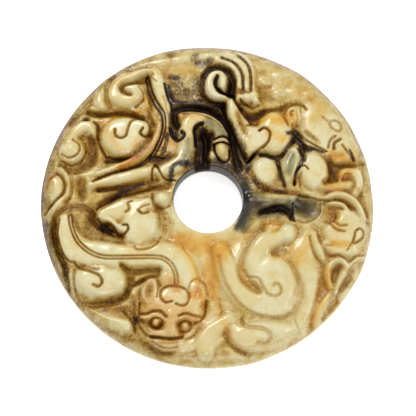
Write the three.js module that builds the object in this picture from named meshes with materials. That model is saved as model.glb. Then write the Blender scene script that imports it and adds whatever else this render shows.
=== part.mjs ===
import * as THREE from 'three';

// A carved jade bi disc: one solid piece of stone, pierced at the middle, lying on its plain back.
// Millimetres, +Z up, +Y towards the scroll at the top of the carved face.

// Sizes of the disc.
const DISC_RADIUS = 35;
const HOLE_RADIUS = 7.3;
const PLATE_THICKNESS = 5.2;
const RELIEF_RISE = 1.6;
const RECESS_DEPTH = 1.4;
const GROOVE_DEPTH = 0.8;
const GROOVE_HALF_WIDTH = 0.5;
const RIM_EQUATOR = 2.3;
const RIM_SHOULDER = 4.2;
const RIM_UNDERCUT = 2.8;
const HOLE_LIP = 0.5;

// The stone, dry and polished by handling.
const STONE_COLOUR = 0xd8cc9a;
const STONE_ROUGHNESS = 0.3;

// How finely the surface is faceted.
const COLUMNS = 48;
const FACET_COUNT = 9400;
const SPLINE_STEP = 0.7;
const GRID_STEP = 0.25;
const POLISH_PASSES = 3;
const TURN_PASSES = 3;
const TURN_GAIN = 0.9;
const MIN_TURNING = 1e-4;

// The carving is drawn on a disc of this radius and hole, and follows the real ones.
const DRAWN_RADIUS = 35;
const DRAWN_HOLE = 7.3;

// A cut or raised form that follows a smooth line of [x, y, half-width] points.
function stroke(kind, amount, points, closed = false) {
  const curve = new THREE.CatmullRomCurve3(points.map((p) => new THREE.Vector3(...p)), closed);
  const pieces = Math.max(4, Math.round(curve.getLength() / SPLINE_STEP));
  const line = curve.getPoints(pieces);
  const reach = Math.max(...line.map((p) => p.z));
  const box = new THREE.Box3().setFromPoints(line).expandByScalar(reach);
  return { kind, amount, line, box };
}

const ridge = (amount, ...points) => stroke('raised', amount, points);
const hollow = (amount, ...points) => stroke('sunk', amount, points);
const loop = (amount, ...points) => stroke('raised', amount, points, true);

// A groove of the one width along a line of [x, y] points.
function groove(amount, ...points) {
  return stroke('cut', amount, points.map(([x, y]) => [x, y, GROOVE_HALF_WIDTH]));
}

// A rounded oval form: its centre, half-lengths and turn in degrees.
function oval(kind, amount, x, y, long, wide, turn = 0) {
  const reach = Math.max(long, wide);
  const box = new THREE.Box3(
    new THREE.Vector3(x - reach, y - reach, 0),
    new THREE.Vector3(x + reach, y + reach, 0),
  );
  return { kind, amount, x, y, long, wide, turn: THREE.MathUtils.degToRad(turn), box };
}

const dome = (amount, ...size) => oval('raised', amount, ...size);
const dish = (amount, ...size) => oval('sunk', amount, ...size);

// The tail scroll, strap, haunch and forefoot at the upper left.
function upperLeftForms() {
  return [
    hollow(0.8, [-24.5, 19.2, 0.7], [-19.5, 18.8, 0.9], [-14.2, 18.2, 0.9]),
    hollow(0.9, [-13.8, 26, 1.2], [-12.6, 21.5, 1.1], [-12, 16, 1.3], [-13.5, 11, 1.3], [-20, 8.6, 1.2]),
    hollow(0.7, [-24.6, 13, 1], [-24.6, 9.5, 1.5], [-26.5, 6.2, 1.6], [-31, 6.6, 0.8]),
    hollow(0.5, [-26, 17.3, 0.6], [-30.6, 14, 0.7], [-32, 8, 0.6]),
    ridge(0.5, [-18, 29.3, 1.2], [-22.2, 26.2, 1.5], [-24, 22.8, 1.5], [-23.6, 19.6, 0.9]),
    ridge(0.75, [-11.8, 28, 0.6], [-16, 27.8, 1], [-19.8, 25.3, 1.7], [-19.6, 22.2, 1.7], [-17, 20.9, 1.2],
      [-14.6, 22.3, 1.2], [-15.5, 24.2, 1]),
    ridge(0.7, [-11, 29.4, 1.7], [-10.2, 25, 1.7], [-9, 20, 1.3], [-8.2, 14, 1]),
    ridge(0.35, [-10.8, 16.5, 1], [-12, 10.9, 1.4], [-15, 8.2, 1.2], [-24.5, 4.9, 0.7]),
    dome(1, -17.8, 13.4, 5.2, 5),
    ridge(0.7, [-22.8, 12.5, 0.9], [-24.2, 15.6, 1.5], [-27.3, 15, 1.4], [-29.6, 12, 1.2]),
    dome(0.85, -28.8, 10.3, 2.1, 2),
    ridge(0.5, [-26.4, 12, 0.6], [-26.4, 8.6, 0.8], [-28.8, 7.4, 0.8], [-31, 9, 0.6]),
    dome(0.6, -32.6, 2, 3, 4.3),
    ridge(0.6, [-26, 2.6, 0.6], [-20, 4.2, 1.2], [-13.5, 5.6, 1.5], [-9, 6, 1.3]),
    groove(1, [-14.8, 17.6], [-16.3, 16.3], [-17.3, 13.3], [-18.6, 12.7], [-19.7, 14.4]),
    groove(0.9, [-14.8, 17.4], [-12.5, 16.3], [-12.6, 13.4], [-14.3, 13.6], [-14, 14.9]),
    groove(1.2, [-13, 26.5], [-18.2, 25], [-17.2, 22.5]),
    groove(0.9, [-13, 26], [-10.2, 19], [-9.9, 13.5], [-13, 8.3], [-24.3, 3.4]),
    groove(1, [-24, 1.7], [-17, 2.7], [-10.5, 3.8]),
  ];
}

// The arched limb over the hole, its paw, and the scroll and strands above it.
function topForms() {
  return [
    hollow(0.55, [-7.3, 24.3, 2.7], [-3, 24.3, 2.7]),
    hollow(1, [-6.9, 15.6, 0.7], [-7, 19.6, 1], [-2, 20.2, 1], [2.4, 17.8, 1.1], [4.4, 12.5, 0.9], [4.3, 8.4, 0.7]),
    hollow(0.85, [0.3, 21.3, 0.8], [-1.5, 25, 0.9], [-0.2, 29.4, 1], [3.6, 29.2, 1], [5.9, 26, 0.9], [5, 23.4, 0.8]),
    hollow(1.3, [-1, 14.3, 1], [-1, 11, 1.6], [-1.3, 8.2, 1.4]),
    ridge(0.35, [-19, 29.4, 2], [-10, 31.4, 2.6], [-3, 32, 2]),
    ridge(0.8, [-9.6, 5.3, 1], [-6.6, 6.9, 1.8], [-4.8, 11, 2], [-4.7, 15.5, 2.1], [-1.2, 17.6, 1.6],
      [2.4, 15.6, 1.3], [3, 13.2, 1.1]),
    dome(0.7, 2.7, 10.4, 1.3, 1.9),
    dome(0.4, 0.8, 9.2, 1, 1.4),
    ridge(0.85, [3, 21.8, 0.7], [0.2, 24, 1.1], [0.9, 27.4, 1.2], [3.6, 27.3, 1.1], [3.6, 25.2, 0.8]),
    ridge(0.5, [1.5, 30.6, 0.5], [5.4, 28.9, 0.7], [6.9, 24.4, 0.6]),
    ridge(0.5, [1, 32.4, 0.7], [7, 30.2, 0.8], [8.5, 24.6, 0.7]),
    ridge(0.4, [5, 33, 0.5], [9.1, 29.8, 0.6], [9.9, 24.8, 0.5]),
    dome(0.75, 6.8, 22, 1.2, 1.3),
    dome(0.8, 8.5, 21.8, 1.1, 1.5),
    dome(0.8, 10, 22.7, 1.2, 1.2),
    groove(1.2, [2, 26.8], [1.7, 24.6], [4.5, 23.2]),
    groove(1.2, [-1.2, 16.3], [-2.6, 14.4], [-2.6, 10.8], [-3.7, 7.7]),
    groove(1, [-7, 15.8], [-7.3, 13], [-5.8, 12.6], [-5.5, 13.9]),
  ];
}

// The limb, swelling lobes, ear scroll and long head at the upper right.
function upperRightForms() {
  return [
    hollow(0.9, [3.7, 21, 0.7], [4, 16.5, 0.7], [5.8, 12, 0.7], [8.5, 8, 0.8]),
    hollow(0.8, [6.8, 19.4, 0.9], [10.5, 18.6, 1.2], [14, 20, 0.6]),
    hollow(0.9, [8.6, 8.6, 0.8], [12, 9.8, 0.7], [15.6, 9.8, 0.7], [19, 13.4, 1.2], [24.8, 9.8, 0.8]),
    hollow(0.8, [26.4, 8, 1.2], [26.4, 4.2, 1.3]),
    hollow(0.5, [9, 5.4, 0.6], [13, 2.4, 0.7], [19.5, 2, 0.6], [30.5, 0.8, 0.5]),
    ridge(0.45, [9.5, 29, 3], [17, 26.2, 5], [26, 20, 5]),
    dome(0.7, 26.4, 15.6, 6.2, 8.4, 12),
    ridge(0.7, [29.4, 12.5, 1.8], [31.6, 9.8, 1.6]),
    ridge(0.75, [4.9, 21, 0.9], [6.2, 16.8, 1.8], [9, 13, 2.8]),
    dome(0.85, 9.8, 12.6, 3.1, 3),
    dome(1, 14.4, 14.2, 3.9, 4.9),
    dome(0.85, 12.2, 5.9, 3.2, 3.3),
    dome(0.85, 17.3, 7.1, 2.1, 4.6, -8),
    dome(0.95, 22, 6.2, 3.3, 4.3),
    dome(0.7, 18.1, 18.3, 2.8, 2.7),
    ridge(0.5, [28, 5.2, 1.2], [30.4, 6.4, 1.2], [32, 4, 1.3], [30.6, 1, 0.9]),
    ridge(0.5, [23.5, 2.6, 0.8], [27, 2.8, 1.1], [29.8, 3, 0.9]),
    groove(1, [10.9, 14.7], [12.9, 14.6], [12.9, 11.9], [8.3, 8.3]),
    groove(0.9, [21, 20], [17.6, 20.9], [15.9, 18.6], [17, 15.4]),
    groove(0.9, [4.8, 17.5], [6, 14], [7.5, 11]),
    loop(0.85, [25.9, 15.5, 0.35], [27, 16.8, 0.35], [28.1, 15.5, 0.35], [27, 14.2, 0.35]),
    groove(0.8, [28.4, 11.6], [29.3, 9.8], [30.6, 8.4]),
  ];
}

// The leaf hollow, brow strands, second head and its looped ears at the right.
function rightForms() {
  return [
    hollow(0.7, [12.3, -2.6, 0.6], [15.5, -2, 0.8], [17.4, -3.4, 0.7]),
    dish(0.6, 20.6, -2, 3.3, 2.9, -10),
    hollow(0.9, [23, -14.5, 1], [22.8, -19, 1.4], [20.8, -27.5, 1]),
    hollow(0.5, [24.6, -12, 0.6], [28.6, -13, 0.6], [32.6, -11.8, 0.5]),
    hollow(0.9, [26.6, -19.2, 1], [28.8, -17, 1.2], [30, -15, 0.9]),
    hollow(0.7, [26.4, -21.4, 0.8], [23.4, -25.6, 0.9]),
    dome(0.75, 28.2, -6.4, 5.2, 5.9),
    ridge(0.55, [24, 0.2, 0.6], [27, 1, 1], [30.6, -0.6, 1.2], [32.6, -4.2, 0.9]),
    ridge(0.4, [18.3, -4.8, 0.6], [21, -5.6, 0.8], [23.7, -3.6, 0.6]),
    ridge(0.5, [21.4, -8, 1.2], [20.3, -13, 1.9], [20.2, -19, 1.9], [18.6, -25.6, 1.2]),
    ridge(0.45, [32.6, -13.6, 0.9], [29.4, -19.6, 1.1], [24.4, -25.4, 1.2]),
    loop(0.7, [24.6, -17.6, 0.6], [25.6, -14.4, 0.7], [27.6, -13.6, 0.7], [27.8, -16.2, 0.6], [25.6, -19.4, 0.6]),
    loop(0.75, [30.6, -8.4, 0.4], [31.4, -6.8, 0.4], [32.2, -7.8, 0.4], [30.6, -9.9, 0.4]),
    groove(0.9, [25.5, -5.5], [26.3, -6.8], [28, -7.2]),
  ];
}

// The spiral haunch, the knob, the lower haunch and the arm at the bottom right.
function bottomRightForms() {
  return [
    hollow(0.6, [-9, -7.4, 1], [-3, -9.2, 1.4], [3, -9.6, 1.5], [9, -6.4, 1.1]),
    hollow(0.6, [-0.5, -10.5, 1.6], [1.2, -15, 1.6], [2, -20.5, 1.3], [3.6, -24, 0.9]),
    hollow(0.9, [12.2, -4.9, 0.8], [8.9, -9, 1], [6.9, -14, 1], [9, -19, 1.3]),
    hollow(0.8, [14, -11.6, 0.9], [16, -11, 1.1]),
    hollow(0.5, [9.5, -25.4, 0.7], [15, -25.6, 0.8], [18.4, -22.4, 0.7], [18.3, -15, 0.6]),
    hollow(0.5, [3.2, -28.8, 0.7], [6, -32, 0.8]),
    ridge(0.85, [3.6, -12, 1.4], [4.4, -17, 2.1], [7.6, -22, 2.4], [12.6, -23, 2.4]),
    dome(1, 12.8, -18.2, 5.5, 6.3, 12),
    ridge(0.75, [14.6, -8.2, 1.5], [11.4, -10.3, 2.1], [10.4, -14, 2.8]),
    dome(0.95, 16.3, -7.4, 2.2, 2.2),
    dome(0.6, 13.3, -6.3, 1.6, 1.4),
    dome(0.8, 11, -28.6, 7.6, 3.2, 8),
    ridge(0.55, [3.8, -24.6, 1], [0.4, -27, 1.8], [-1.8, -30, 1.9]),
    dome(0.5, 1.2, -32, 2.4, 1.6, 15),
    groove(1, [8, -15.8], [10.2, -17.8], [12, -20.7], [14.5, -19.8], [13.4, -18.2]),
    groove(0.9, [6.8, -25.5], [8.4, -27.1], [12, -28], [10, -30.2]),
    groove(0.8, [2.1, -13], [3.4, -19], [7.6, -24], [12, -25.3]),
  ];
}

// The round mask with its ears, brows, eyes and mouth at the bottom.
function maskForms() {
  return [
    hollow(0.7, [-15.6, -22.5, 0.9], [-15.2, -28, 1], [-9, -31.8, 0.9], [-2.4, -29.4, 0.9], [0.6, -25.4, 0.8]),
    hollow(0.8, [-16.2, -19.8, 0.7], [-13.6, -16.9, 0.8], [-9, -16.4, 0.7]),
    dome(0.95, -7.3, -24.6, 6.7, 6.9),
    dome(0.9, -12, -19.6, 1.9, 3, -15),
    dome(0.9, -2.5, -20, 1.9, 3, 15),
    dish(-0.05, -12, -19.8, 0.9, 1.9, -15),
    dish(-0.05, -2.4, -20.2, 0.9, 1.9, 15),
    dome(0.4, -15.4, -20.8, 1, 2.1, -20),
    dome(0.4, 1, -22.8, 0.9, 2.2, 5),
    dish(0, -10.9, -26.4, 2.1, 1.4, -10),
    dish(0, -4.9, -26.9, 1.9, 1.6),
    dome(0.75, -10.6, -26.3, 0.9, 0.9),
    dome(0.75, -4.8, -27, 1, 1),
    ridge(0.95, [-8.6, -24.6, 0.8], [-7.6, -27.6, 1.3]),
    groove(1.1, [-14, -24], [-11, -23.6], [-8.6, -24.8]),
    groove(1.1, [-6.2, -24.8], [-4.2, -24.4], [-1.2, -24.8]),
    groove(1.2, [-12.2, -28.6], [-8.5, -29.7], [-4.8, -28.6]),
    groove(1, [-7.4, -21.9], [-9.7, -20.8], [-7.5, -18.9], [-4.1, -20.3], [-6.4, -22.4]),
  ];
}

// The long body, its two haunches and its feet at the left.
function leftForms() {
  return [
    hollow(0.6, [-27, 3, 1.3], [-26.5, -0.6, 1.3]),
    hollow(0.7, [-31.8, -4.2, 0.9], [-28.4, -1.7, 0.8], [-24, -3, 0.9], [-21, -6.6, 1.5], [-17.6, -8.2, 0.9]),
    hollow(0.7, [-32.4, -5.5, 0.8], [-31.2, -11.5, 0.9], [-28.6, -16.6, 0.8]),
    hollow(0.8, [-14, -15.2, 0.8], [-15.6, -18, 1.1], [-18.5, -21.8, 1.1], [-25.4, -22.3, 0.9]),
    hollow(0.5, [-22.4, -1.6, 0.6], [-18, 1.4, 0.6], [-12, 2.6, 0.6]),
    ridge(0.75, [-29.2, -3.6, 1.8], [-29, -8, 2.5], [-24.6, -12, 2.5], [-17, -12.4, 2.3], [-10.5, -12, 2.8],
      [-6, -13.6, 3.3], [-4, -17.5, 2.4]),
    dome(0.95, -14.6, -4.8, 5.2, 6.2),
    ridge(0.7, [-22.2, -2.8, 1], [-18.6, -3, 2.4], [-15, -5, 3.4]),
    dome(0.9, -22.4, -17.2, 6, 3.9),
    ridge(0.5, [-25.8, -22.8, 1.4], [-21, -26, 1.9], [-16.6, -27.3, 1.5]),
    dome(0.85, -9.6, -0.3, 2, 1.9),
    groove(1, [-6.6, -18], [-7, -14.8], [-10.5, -12.7], [-18, -12.8], [-25, -11.5], [-28.6, -4.2]),
    groove(1, [-22.8, -4.5], [-20, -6], [-17.7, -8], [-16.5, -6.8], [-17.3, -5.8]),
    groove(1, [-27.5, -13.9], [-22.8, -16], [-21.6, -18], [-23.3, -18.4]),
    groove(0.9, [-9.8, -8], [-12.8, -11.3], [-15.1, -10.7]),
  ];
}

const CARVING = [
  ...upperLeftForms(),
  ...leftForms(),
  ...bottomRightForms(),
  ...rightForms(),
  ...upperRightForms(),
  ...topForms(),
  ...maskForms(),
];

// How far out a point lies in a form: 0 on its middle line or centre, 1 at its edge.
function shareOut(form, x, y) {
  if (!form.line) {
    const dx = x - form.x;
    const dy = y - form.y;
    const along = dx * Math.cos(form.turn) + dy * Math.sin(form.turn);
    const across = -dx * Math.sin(form.turn) + dy * Math.cos(form.turn);
    return Math.hypot(along / form.long, across / form.wide);
  }
  let nearest = Infinity;
  for (let i = 1; i < form.line.length; i += 1) {
    const a = form.line[i - 1];
    const b = form.line[i];
    const dx = b.x - a.x;
    const dy = b.y - a.y;
    const along = ((x - a.x) * dx + (y - a.y) * dy) / (dx * dx + dy * dy);
    const t = THREE.MathUtils.clamp(along, 0, 1);
    const distance = Math.hypot(x - a.x - t * dx, y - a.y - t * dy);
    nearest = Math.min(nearest, distance / THREE.MathUtils.lerp(a.z, b.z, t));
  }
  return nearest;
}

// Height of the carved face over the plate, at a point of the drawing.
function carvedHeight(x, y) {
  let height = 0;
  for (const form of CARVING) {
    const { min, max } = form.box;
    if (x < min.x || x > max.x || y < min.y || y > max.y) continue;
    const q = shareOut(form, x, y);
    if (q >= 1) continue;
    const fall = 1 - q * q;
    if (form.kind === 'raised') {
      const rise = form.amount * RELIEF_RISE + RECESS_DEPTH;
      height = Math.max(height, rise * Math.sqrt(fall) - RECESS_DEPTH);
    } else if (form.kind === 'sunk') {
      height = Math.min(height, THREE.MathUtils.lerp(height, -form.amount * RECESS_DEPTH, fall));
    } else {
      height -= form.amount * GROOVE_DEPTH * fall;
    }
  }
  return height;
}

// The carving on a fine square grid, softened by polishing: each pass mixes a point with its neighbours.
const GRID_REACH = Math.ceil(DRAWN_RADIUS / GRID_STEP) + 2;
const GRID_SIDE = 2 * GRID_REACH + 1;

function polished(grid, stride) {
  const soft = Float64Array.from(grid);
  for (let i = stride; i < grid.length - stride; i += 1) {
    soft[i] = (grid[i - stride] + 2 * grid[i] + grid[i + stride]) / 4;
  }
  return soft;
}

function carvedGrid() {
  let grid = new Float64Array(GRID_SIDE ** 2);
  for (let row = 0; row < GRID_SIDE; row += 1) {
    for (let column = 0; column < GRID_SIDE; column += 1) {
      const x = (column - GRID_REACH) * GRID_STEP;
      const y = (row - GRID_REACH) * GRID_STEP;
      grid[row * GRID_SIDE + column] = carvedHeight(x, y);
    }
  }
  for (let pass = 0; pass < POLISH_PASSES; pass += 1) grid = polished(polished(grid, 1), GRID_SIDE);
  return grid;
}

const FACE = carvedGrid();

// Height of the polished face where the real disc has it, between its own hole and rim.
function faceHeight(radius, angle) {
  const share = (radius - HOLE_RADIUS) / (DISC_RADIUS - HOLE_RADIUS);
  const drawn = DRAWN_HOLE + share * (DRAWN_RADIUS - DRAWN_HOLE);
  const across = drawn * Math.cos(angle) / GRID_STEP + GRID_REACH;
  const up = drawn * Math.sin(angle) / GRID_STEP + GRID_REACH;
  const first = Math.floor(up) * GRID_SIDE + Math.floor(across);
  const { lerp } = THREE.MathUtils;
  const low = lerp(FACE[first], FACE[first + 1], across % 1);
  const high = lerp(FACE[first + GRID_SIDE], FACE[first + GRID_SIDE + 1], across % 1);
  return lerp(low, high, up % 1);
}

// The hand-worn outline: [direction, spread, swelling], the first two in degrees.
const OUTLINE_SWELLINGS = [
  [55, 7, 0.25],
  [105, 6, 0.12],
  [90, 5, -0.12],
  [145, 12, -0.12],
  [180, 10, 0.12],
  [285, 6, 0.12],
  [335, 6, 0.18],
  [5, 6, -0.14],
];

function outlineSwelling(angle) {
  let swelling = 0;
  for (const [direction, spread, amount] of OUTLINE_SWELLINGS) {
    const away = THREE.MathUtils.euclideanModulo(THREE.MathUtils.radToDeg(angle) - direction + 180, 360) - 180;
    swelling += amount * Math.exp(-((away / spread) ** 2));
  }
  return swelling;
}

// The section of the disc runs once round: each stretch has its rows of facets and its own line.
const LIP_OUTER = HOLE_RADIUS + HOLE_LIP;
const SHOULDER_INNER = DISC_RADIUS - RIM_SHOULDER;
const BACK_OUTER = DISC_RADIUS - RIM_UNDERCUT;
const quarter = (t) => t * Math.PI / 2;

const SECTION = [
  {
    rows: 11,
    at(t, angle) {
      const radius = LIP_OUTER * (SHOULDER_INNER / LIP_OUTER) ** t;
      return [radius, PLATE_THICKNESS + faceHeight(radius, angle)];
    },
  },
  {
    rows: 3,
    at(t, angle) {
      const out = Math.sin(quarter(t));
      const up = Math.cos(quarter(t));
      const radius = SHOULDER_INNER + RIM_SHOULDER * out;
      const crown = (PLATE_THICKNESS - RIM_EQUATOR) * up + faceHeight(radius, angle) * Math.sqrt(up);
      return [radius + outlineSwelling(angle) * out, RIM_EQUATOR + crown];
    },
  },
  {
    rows: 2,
    at(t, angle) {
      const out = Math.cos(quarter(t));
      const radius = BACK_OUTER + RIM_UNDERCUT * out;
      return [radius + outlineSwelling(angle) * out, RIM_EQUATOR * (1 - Math.sin(quarter(t)))];
    },
  },
  {
    rows: 3,
    at: (t) => [THREE.MathUtils.lerp(BACK_OUTER, LIP_OUTER, t), 0],
  },
  {
    rows: 1,
    at: (t) => [LIP_OUTER - HOLE_LIP * Math.sin(quarter(t)), HOLE_LIP * (1 - Math.cos(quarter(t)))],
  },
  {
    rows: 2,
    at: (t) => [HOLE_RADIUS, THREE.MathUtils.lerp(HOLE_LIP, PLATE_THICKNESS - HOLE_LIP, t)],
  },
  {
    rows: 2,
    at(t, angle) {
      const up = Math.sin(quarter(t));
      const radius = LIP_OUTER - HOLE_LIP * Math.cos(quarter(t));
      const lip = PLATE_THICKNESS - HOLE_LIP * (1 - up);
      return [radius, lip + faceHeight(radius, angle) * up];
    },
  },
];
const ROWS = SECTION.reduce((sum, stretch) => sum + stretch.rows, 0);

// The surface point at a row and a column, whole or between.
function surfacePoint(row, column) {
  const angle = column / COLUMNS * 2 * Math.PI;
  let along = THREE.MathUtils.euclideanModulo(row, ROWS);
  let index = 0;
  while (along >= SECTION[index].rows) {
    along -= SECTION[index].rows;
    index += 1;
  }
  const [radius, height] = SECTION[index].at(along / SECTION[index].rows, angle);
  return new THREE.Vector3(radius * Math.cos(angle), radius * Math.sin(angle), height);
}

// A net of facets that closes on itself both ways. A facet is [apex, left, right], split across left-right.
class FacetNet {
  constructor() {
    this.points = [];
    this.places = [];
    this.numbers = new Map();
    this.owners = new Map();
    this.facets = new Set();
  }

  corner(row, column) {
    const place = [THREE.MathUtils.euclideanModulo(row, ROWS), THREE.MathUtils.euclideanModulo(column, COLUMNS)];
    const key = place.join();
    if (!this.numbers.has(key)) {
      this.numbers.set(key, this.points.length);
      this.points.push(surfacePoint(...place));
      this.places.push(place);
    }
    return this.numbers.get(key);
  }

  // Places of some corners, brought next to the first one where the net wraps round.
  nearPlaces(corners) {
    const [first] = corners.map((corner) => this.places[corner]);
    return corners.map((corner) => this.places[corner].map((value, i) => {
      const period = i === 0 ? ROWS : COLUMNS;
      return value + period * Math.round((first[i] - value) / period);
    }));
  }

  meanPlace(corners) {
    const places = this.nearPlaces(corners);
    return [0, 1].map((i) => places.reduce((sum, place) => sum + place[i], 0) / places.length);
  }

  // The widest gap between a facet and the true surface.
  gap([a, b, c]) {
    let widest = 0;
    for (const group of [[a, b], [b, c], [c, a], [a, b, c]]) {
      const flat = group.reduce((sum, corner) => sum.add(this.points[corner]), new THREE.Vector3());
      flat.divideScalar(group.length);
      widest = Math.max(widest, flat.distanceTo(surfacePoint(...this.meanPlace(group))));
    }
    return widest;
  }

  // How much a facet needs splitting: its gap, times its breadth.
  misfit(corners) {
    return this.gap(corners) * this.points[corners[1]].distanceTo(this.points[corners[2]]);
  }

  add(corners) {
    const facet = { corners, misfit: this.misfit(corners) };
    corners.forEach((corner, i) => this.owners.set(`${corner}>${corners[(i + 1) % 3]}`, facet));
    this.facets.add(facet);
  }

  halve(facet, middle) {
    const [apex, left, right] = facet.corners;
    this.facets.delete(facet);
    this.add([middle, apex, left]);
    this.add([middle, right, apex]);
  }

  split(facet) {
    const [, left, right] = facet.corners;
    let mate = this.owners.get(`${right}>${left}`);
    if (mate.corners[1] !== right) {
      this.split(mate);
      mate = this.owners.get(`${right}>${left}`);
    }
    const middle = this.corner(...this.meanPlace([left, right]));
    this.halve(facet, middle);
    this.halve(mate, middle);
  }

  layGrid() {
    for (let row = 0; row < ROWS; row += 1) {
      for (let column = 0; column < COLUMNS; column += 1) {
        const inner = this.corner(row, column);
        const outer = this.corner(row + 1, column);
        const outerNext = this.corner(row + 1, column + 1);
        const innerNext = this.corner(row, column + 1);
        this.add([outer, outerNext, inner]);
        this.add([innerNext, inner, outerNext]);
      }
    }
  }

  // Splits the worst facets again and again, a share of them at a time.
  refine(count, share = 0.05) {
    while (this.facets.size < count) {
      const order = [...this.facets].sort((a, b) => b.misfit - a.misfit);
      const batch = Math.min(Math.ceil(order.length * share), Math.ceil((count - order.length) / 2));
      for (const facet of order.slice(0, batch)) {
        if (this.facets.has(facet)) this.split(facet);
      }
    }
  }

  // Twice the area of a facet as laid out on the net, positive when it is the right way round.
  turning(corners) {
    const [[row, column], [rowB, columnB], [rowC, columnC]] = this.nearPlaces(corners);
    return (rowB - row) * (columnC - column) - (rowC - row) * (columnB - column);
  }

  // Turns the shared edge of two facets to run along the carving, where that brings them closer to it.
  turnEdges() {
    for (const [edge, facet] of [...this.owners]) {
      const [from, to] = edge.split('>').map(Number);
      const mate = this.owners.get(`${to}>${from}`);
      if (this.owners.get(edge) !== facet || !this.facets.has(facet) || !this.facets.has(mate)) continue;
      const near = facet.corners.find((corner) => corner !== from && corner !== to);
      const far = mate.corners.find((corner) => corner !== from && corner !== to);
      const turned = [[near, from, far], [far, to, near]];
      if (Math.min(...turned.map((corners) => this.turning(corners))) < MIN_TURNING) continue;
      const before = Math.max(this.gap(facet.corners), this.gap(mate.corners));
      if (Math.max(...turned.map((corners) => this.gap(corners))) >= before * TURN_GAIN) continue;
      this.facets.delete(facet);
      this.facets.delete(mate);
      this.owners.delete(edge);
      this.owners.delete(`${to}>${from}`);
      turned.forEach((corners) => this.add(corners));
    }
  }

  geometry() {
    const shape = new THREE.BufferGeometry();
    shape.setAttribute('position', new THREE.Float32BufferAttribute(this.points.flatMap((p) => p.toArray()), 3));
    shape.setIndex([...this.facets].flatMap((facet) => facet.corners));
    shape.computeVertexNormals();
    return shape;
  }
}

function jadeDisc() {
  const net = new FacetNet();
  net.layGrid();
  net.refine(FACET_COUNT);
  for (let pass = 0; pass < TURN_PASSES; pass += 1) net.turnEdges();
  const stone = new THREE.MeshStandardMaterial({
    color: STONE_COLOUR,
    roughness: STONE_ROUGHNESS,
    metalness: 0,
  });
  const disc = new THREE.Mesh(net.geometry(), stone);
  disc.name = 'jade_bi_disc';
  return disc;
}

const part = new THREE.Group();
part.add(jadeDisc());

export default part;
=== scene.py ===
"""Jade bi disc: a pierced disc of polished jade, its upper face carved in relief with coiling beasts."""

import math

import bpy
import numpy as np
from bpy.props import FloatProperty, FloatVectorProperty, IntProperty, PointerProperty
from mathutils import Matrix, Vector


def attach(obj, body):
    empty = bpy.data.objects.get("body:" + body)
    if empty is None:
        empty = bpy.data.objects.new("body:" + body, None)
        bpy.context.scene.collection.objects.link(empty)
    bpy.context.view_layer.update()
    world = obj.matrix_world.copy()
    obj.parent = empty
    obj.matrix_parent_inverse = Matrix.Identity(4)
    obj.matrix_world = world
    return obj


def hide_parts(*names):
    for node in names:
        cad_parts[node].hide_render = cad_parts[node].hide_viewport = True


bl_info = {
    "name": "Jade Bi Disc",
    "version": (1, 0, 0),
    "blender": (4, 2, 0),
    "location": "3D View > Sidebar > Jade",
    "description": "Carves a pierced jade disc with coiling beasts in relief, and sets a pale stage for it",
    "category": "Add Mesh",
}

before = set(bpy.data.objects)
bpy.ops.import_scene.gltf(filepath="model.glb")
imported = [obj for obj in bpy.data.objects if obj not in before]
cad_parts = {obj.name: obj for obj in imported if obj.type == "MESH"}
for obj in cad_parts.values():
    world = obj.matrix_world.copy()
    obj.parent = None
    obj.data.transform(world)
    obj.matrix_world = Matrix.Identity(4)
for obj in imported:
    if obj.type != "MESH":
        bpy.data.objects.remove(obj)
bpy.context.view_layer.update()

# One millimetre, in metres.
MM = 0.001

# Points nearer than WELD metres are one point, and heights nearer than SLACK millimetres count as the same.
WELD = 1e-6
SLACK = 1e-4

# The rows of facets: the face's rows over these numbers, and plain numbers for the two lips of the hole.
SHOULDER_ROWS = 5
UNDERCUT_ROWS = 14
BACK_ROWS = 3
WALL_ROWS = 9
LOWER_LIP_ROWS = 5
UPPER_LIP_ROWS = 8

# How squarely the carving runs out over the rim.
CROWN_ROUNDING = 0.25

# The disc isn't finished with fewer or more triangles than these.
LEAST_TRIANGLES = 1000
MOST_TRIANGLES = 200000

# The carving is worked out on a square grid with this step, in millimetres, and this many steps each way.
GRID_STEP = 0.1
GRID_REACH = 358

# A distance well outside every drawn line, in half-widths, and a squared length too small to matter.
FAR_OUT = 9.0
TINY = 1e-9

# How far rubbing softens the rounded forms and the fine cuts, in millimetres.
FORM_POLISH = 0.3
CUT_POLISH = 0.08

# How square the shoulders of the forms and hollows are: 1 is a parabola, and less is fuller.
FORM_ROUNDING = 0.5
HOLLOW_ROUNDING = 0.8

# The least half-width of a drawn line, in millimetres.
LEAST_HALF_WIDTH = 0.05

# How full of dirt a cut is packed, before the dirt thins towards its edge.
PACKING = 1.15

# How wide the dirt spreads beside a cut, in widths of the cut, how fast it fades, and its share of colour.
HALO_WIDTH = 2.4
HALO_FADE = 1.5
HALO_SHARE = 0.36

# How far dirt seeps from a hollow, in widths of the hollow, how fast it fades, and its share of colour.
SEEP = 1.2
SEEP_FADE = 1.3
SEEP_SHARE = 0.85

# How soon a rubbed oval is fully clean, going inwards from its edge.
CLEANING = 1.6

# How much fuller the forms stand than their drawn widths.
FILL = 1.1

# How strongly the ground is cut back beside the forms, and over how many millimetres.
UNDERCUTTING = 0.3
UNDERCUT_REACH = 1.3

# Faint waves left by hand working: direction, turn of the wave per millimetre and start, all in radians.
UNDULATIONS = ((0.4, 0.9, 0.3), (1.5, 1.3, 1.1), (2.3, 0.7, 2.0), (2.9, 1.7, 4.1))

# The height of the waves in millimetres, and how slowly they swell and fade, as a share of their pace.
UNDULATION_HEIGHT = 0.05
UNDULATION_SWELL = 0.13

# The colours that age and burial left in the stone; slate also carries painted shade round the rim.
STAINS = ("umber", "black", "slate", "ochre", "peach", "honey")

# How far burial browned the ground everywhere, and at most.
BROWNING_BASE = 0.3
BROWNING_MOST = 1.15

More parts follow.
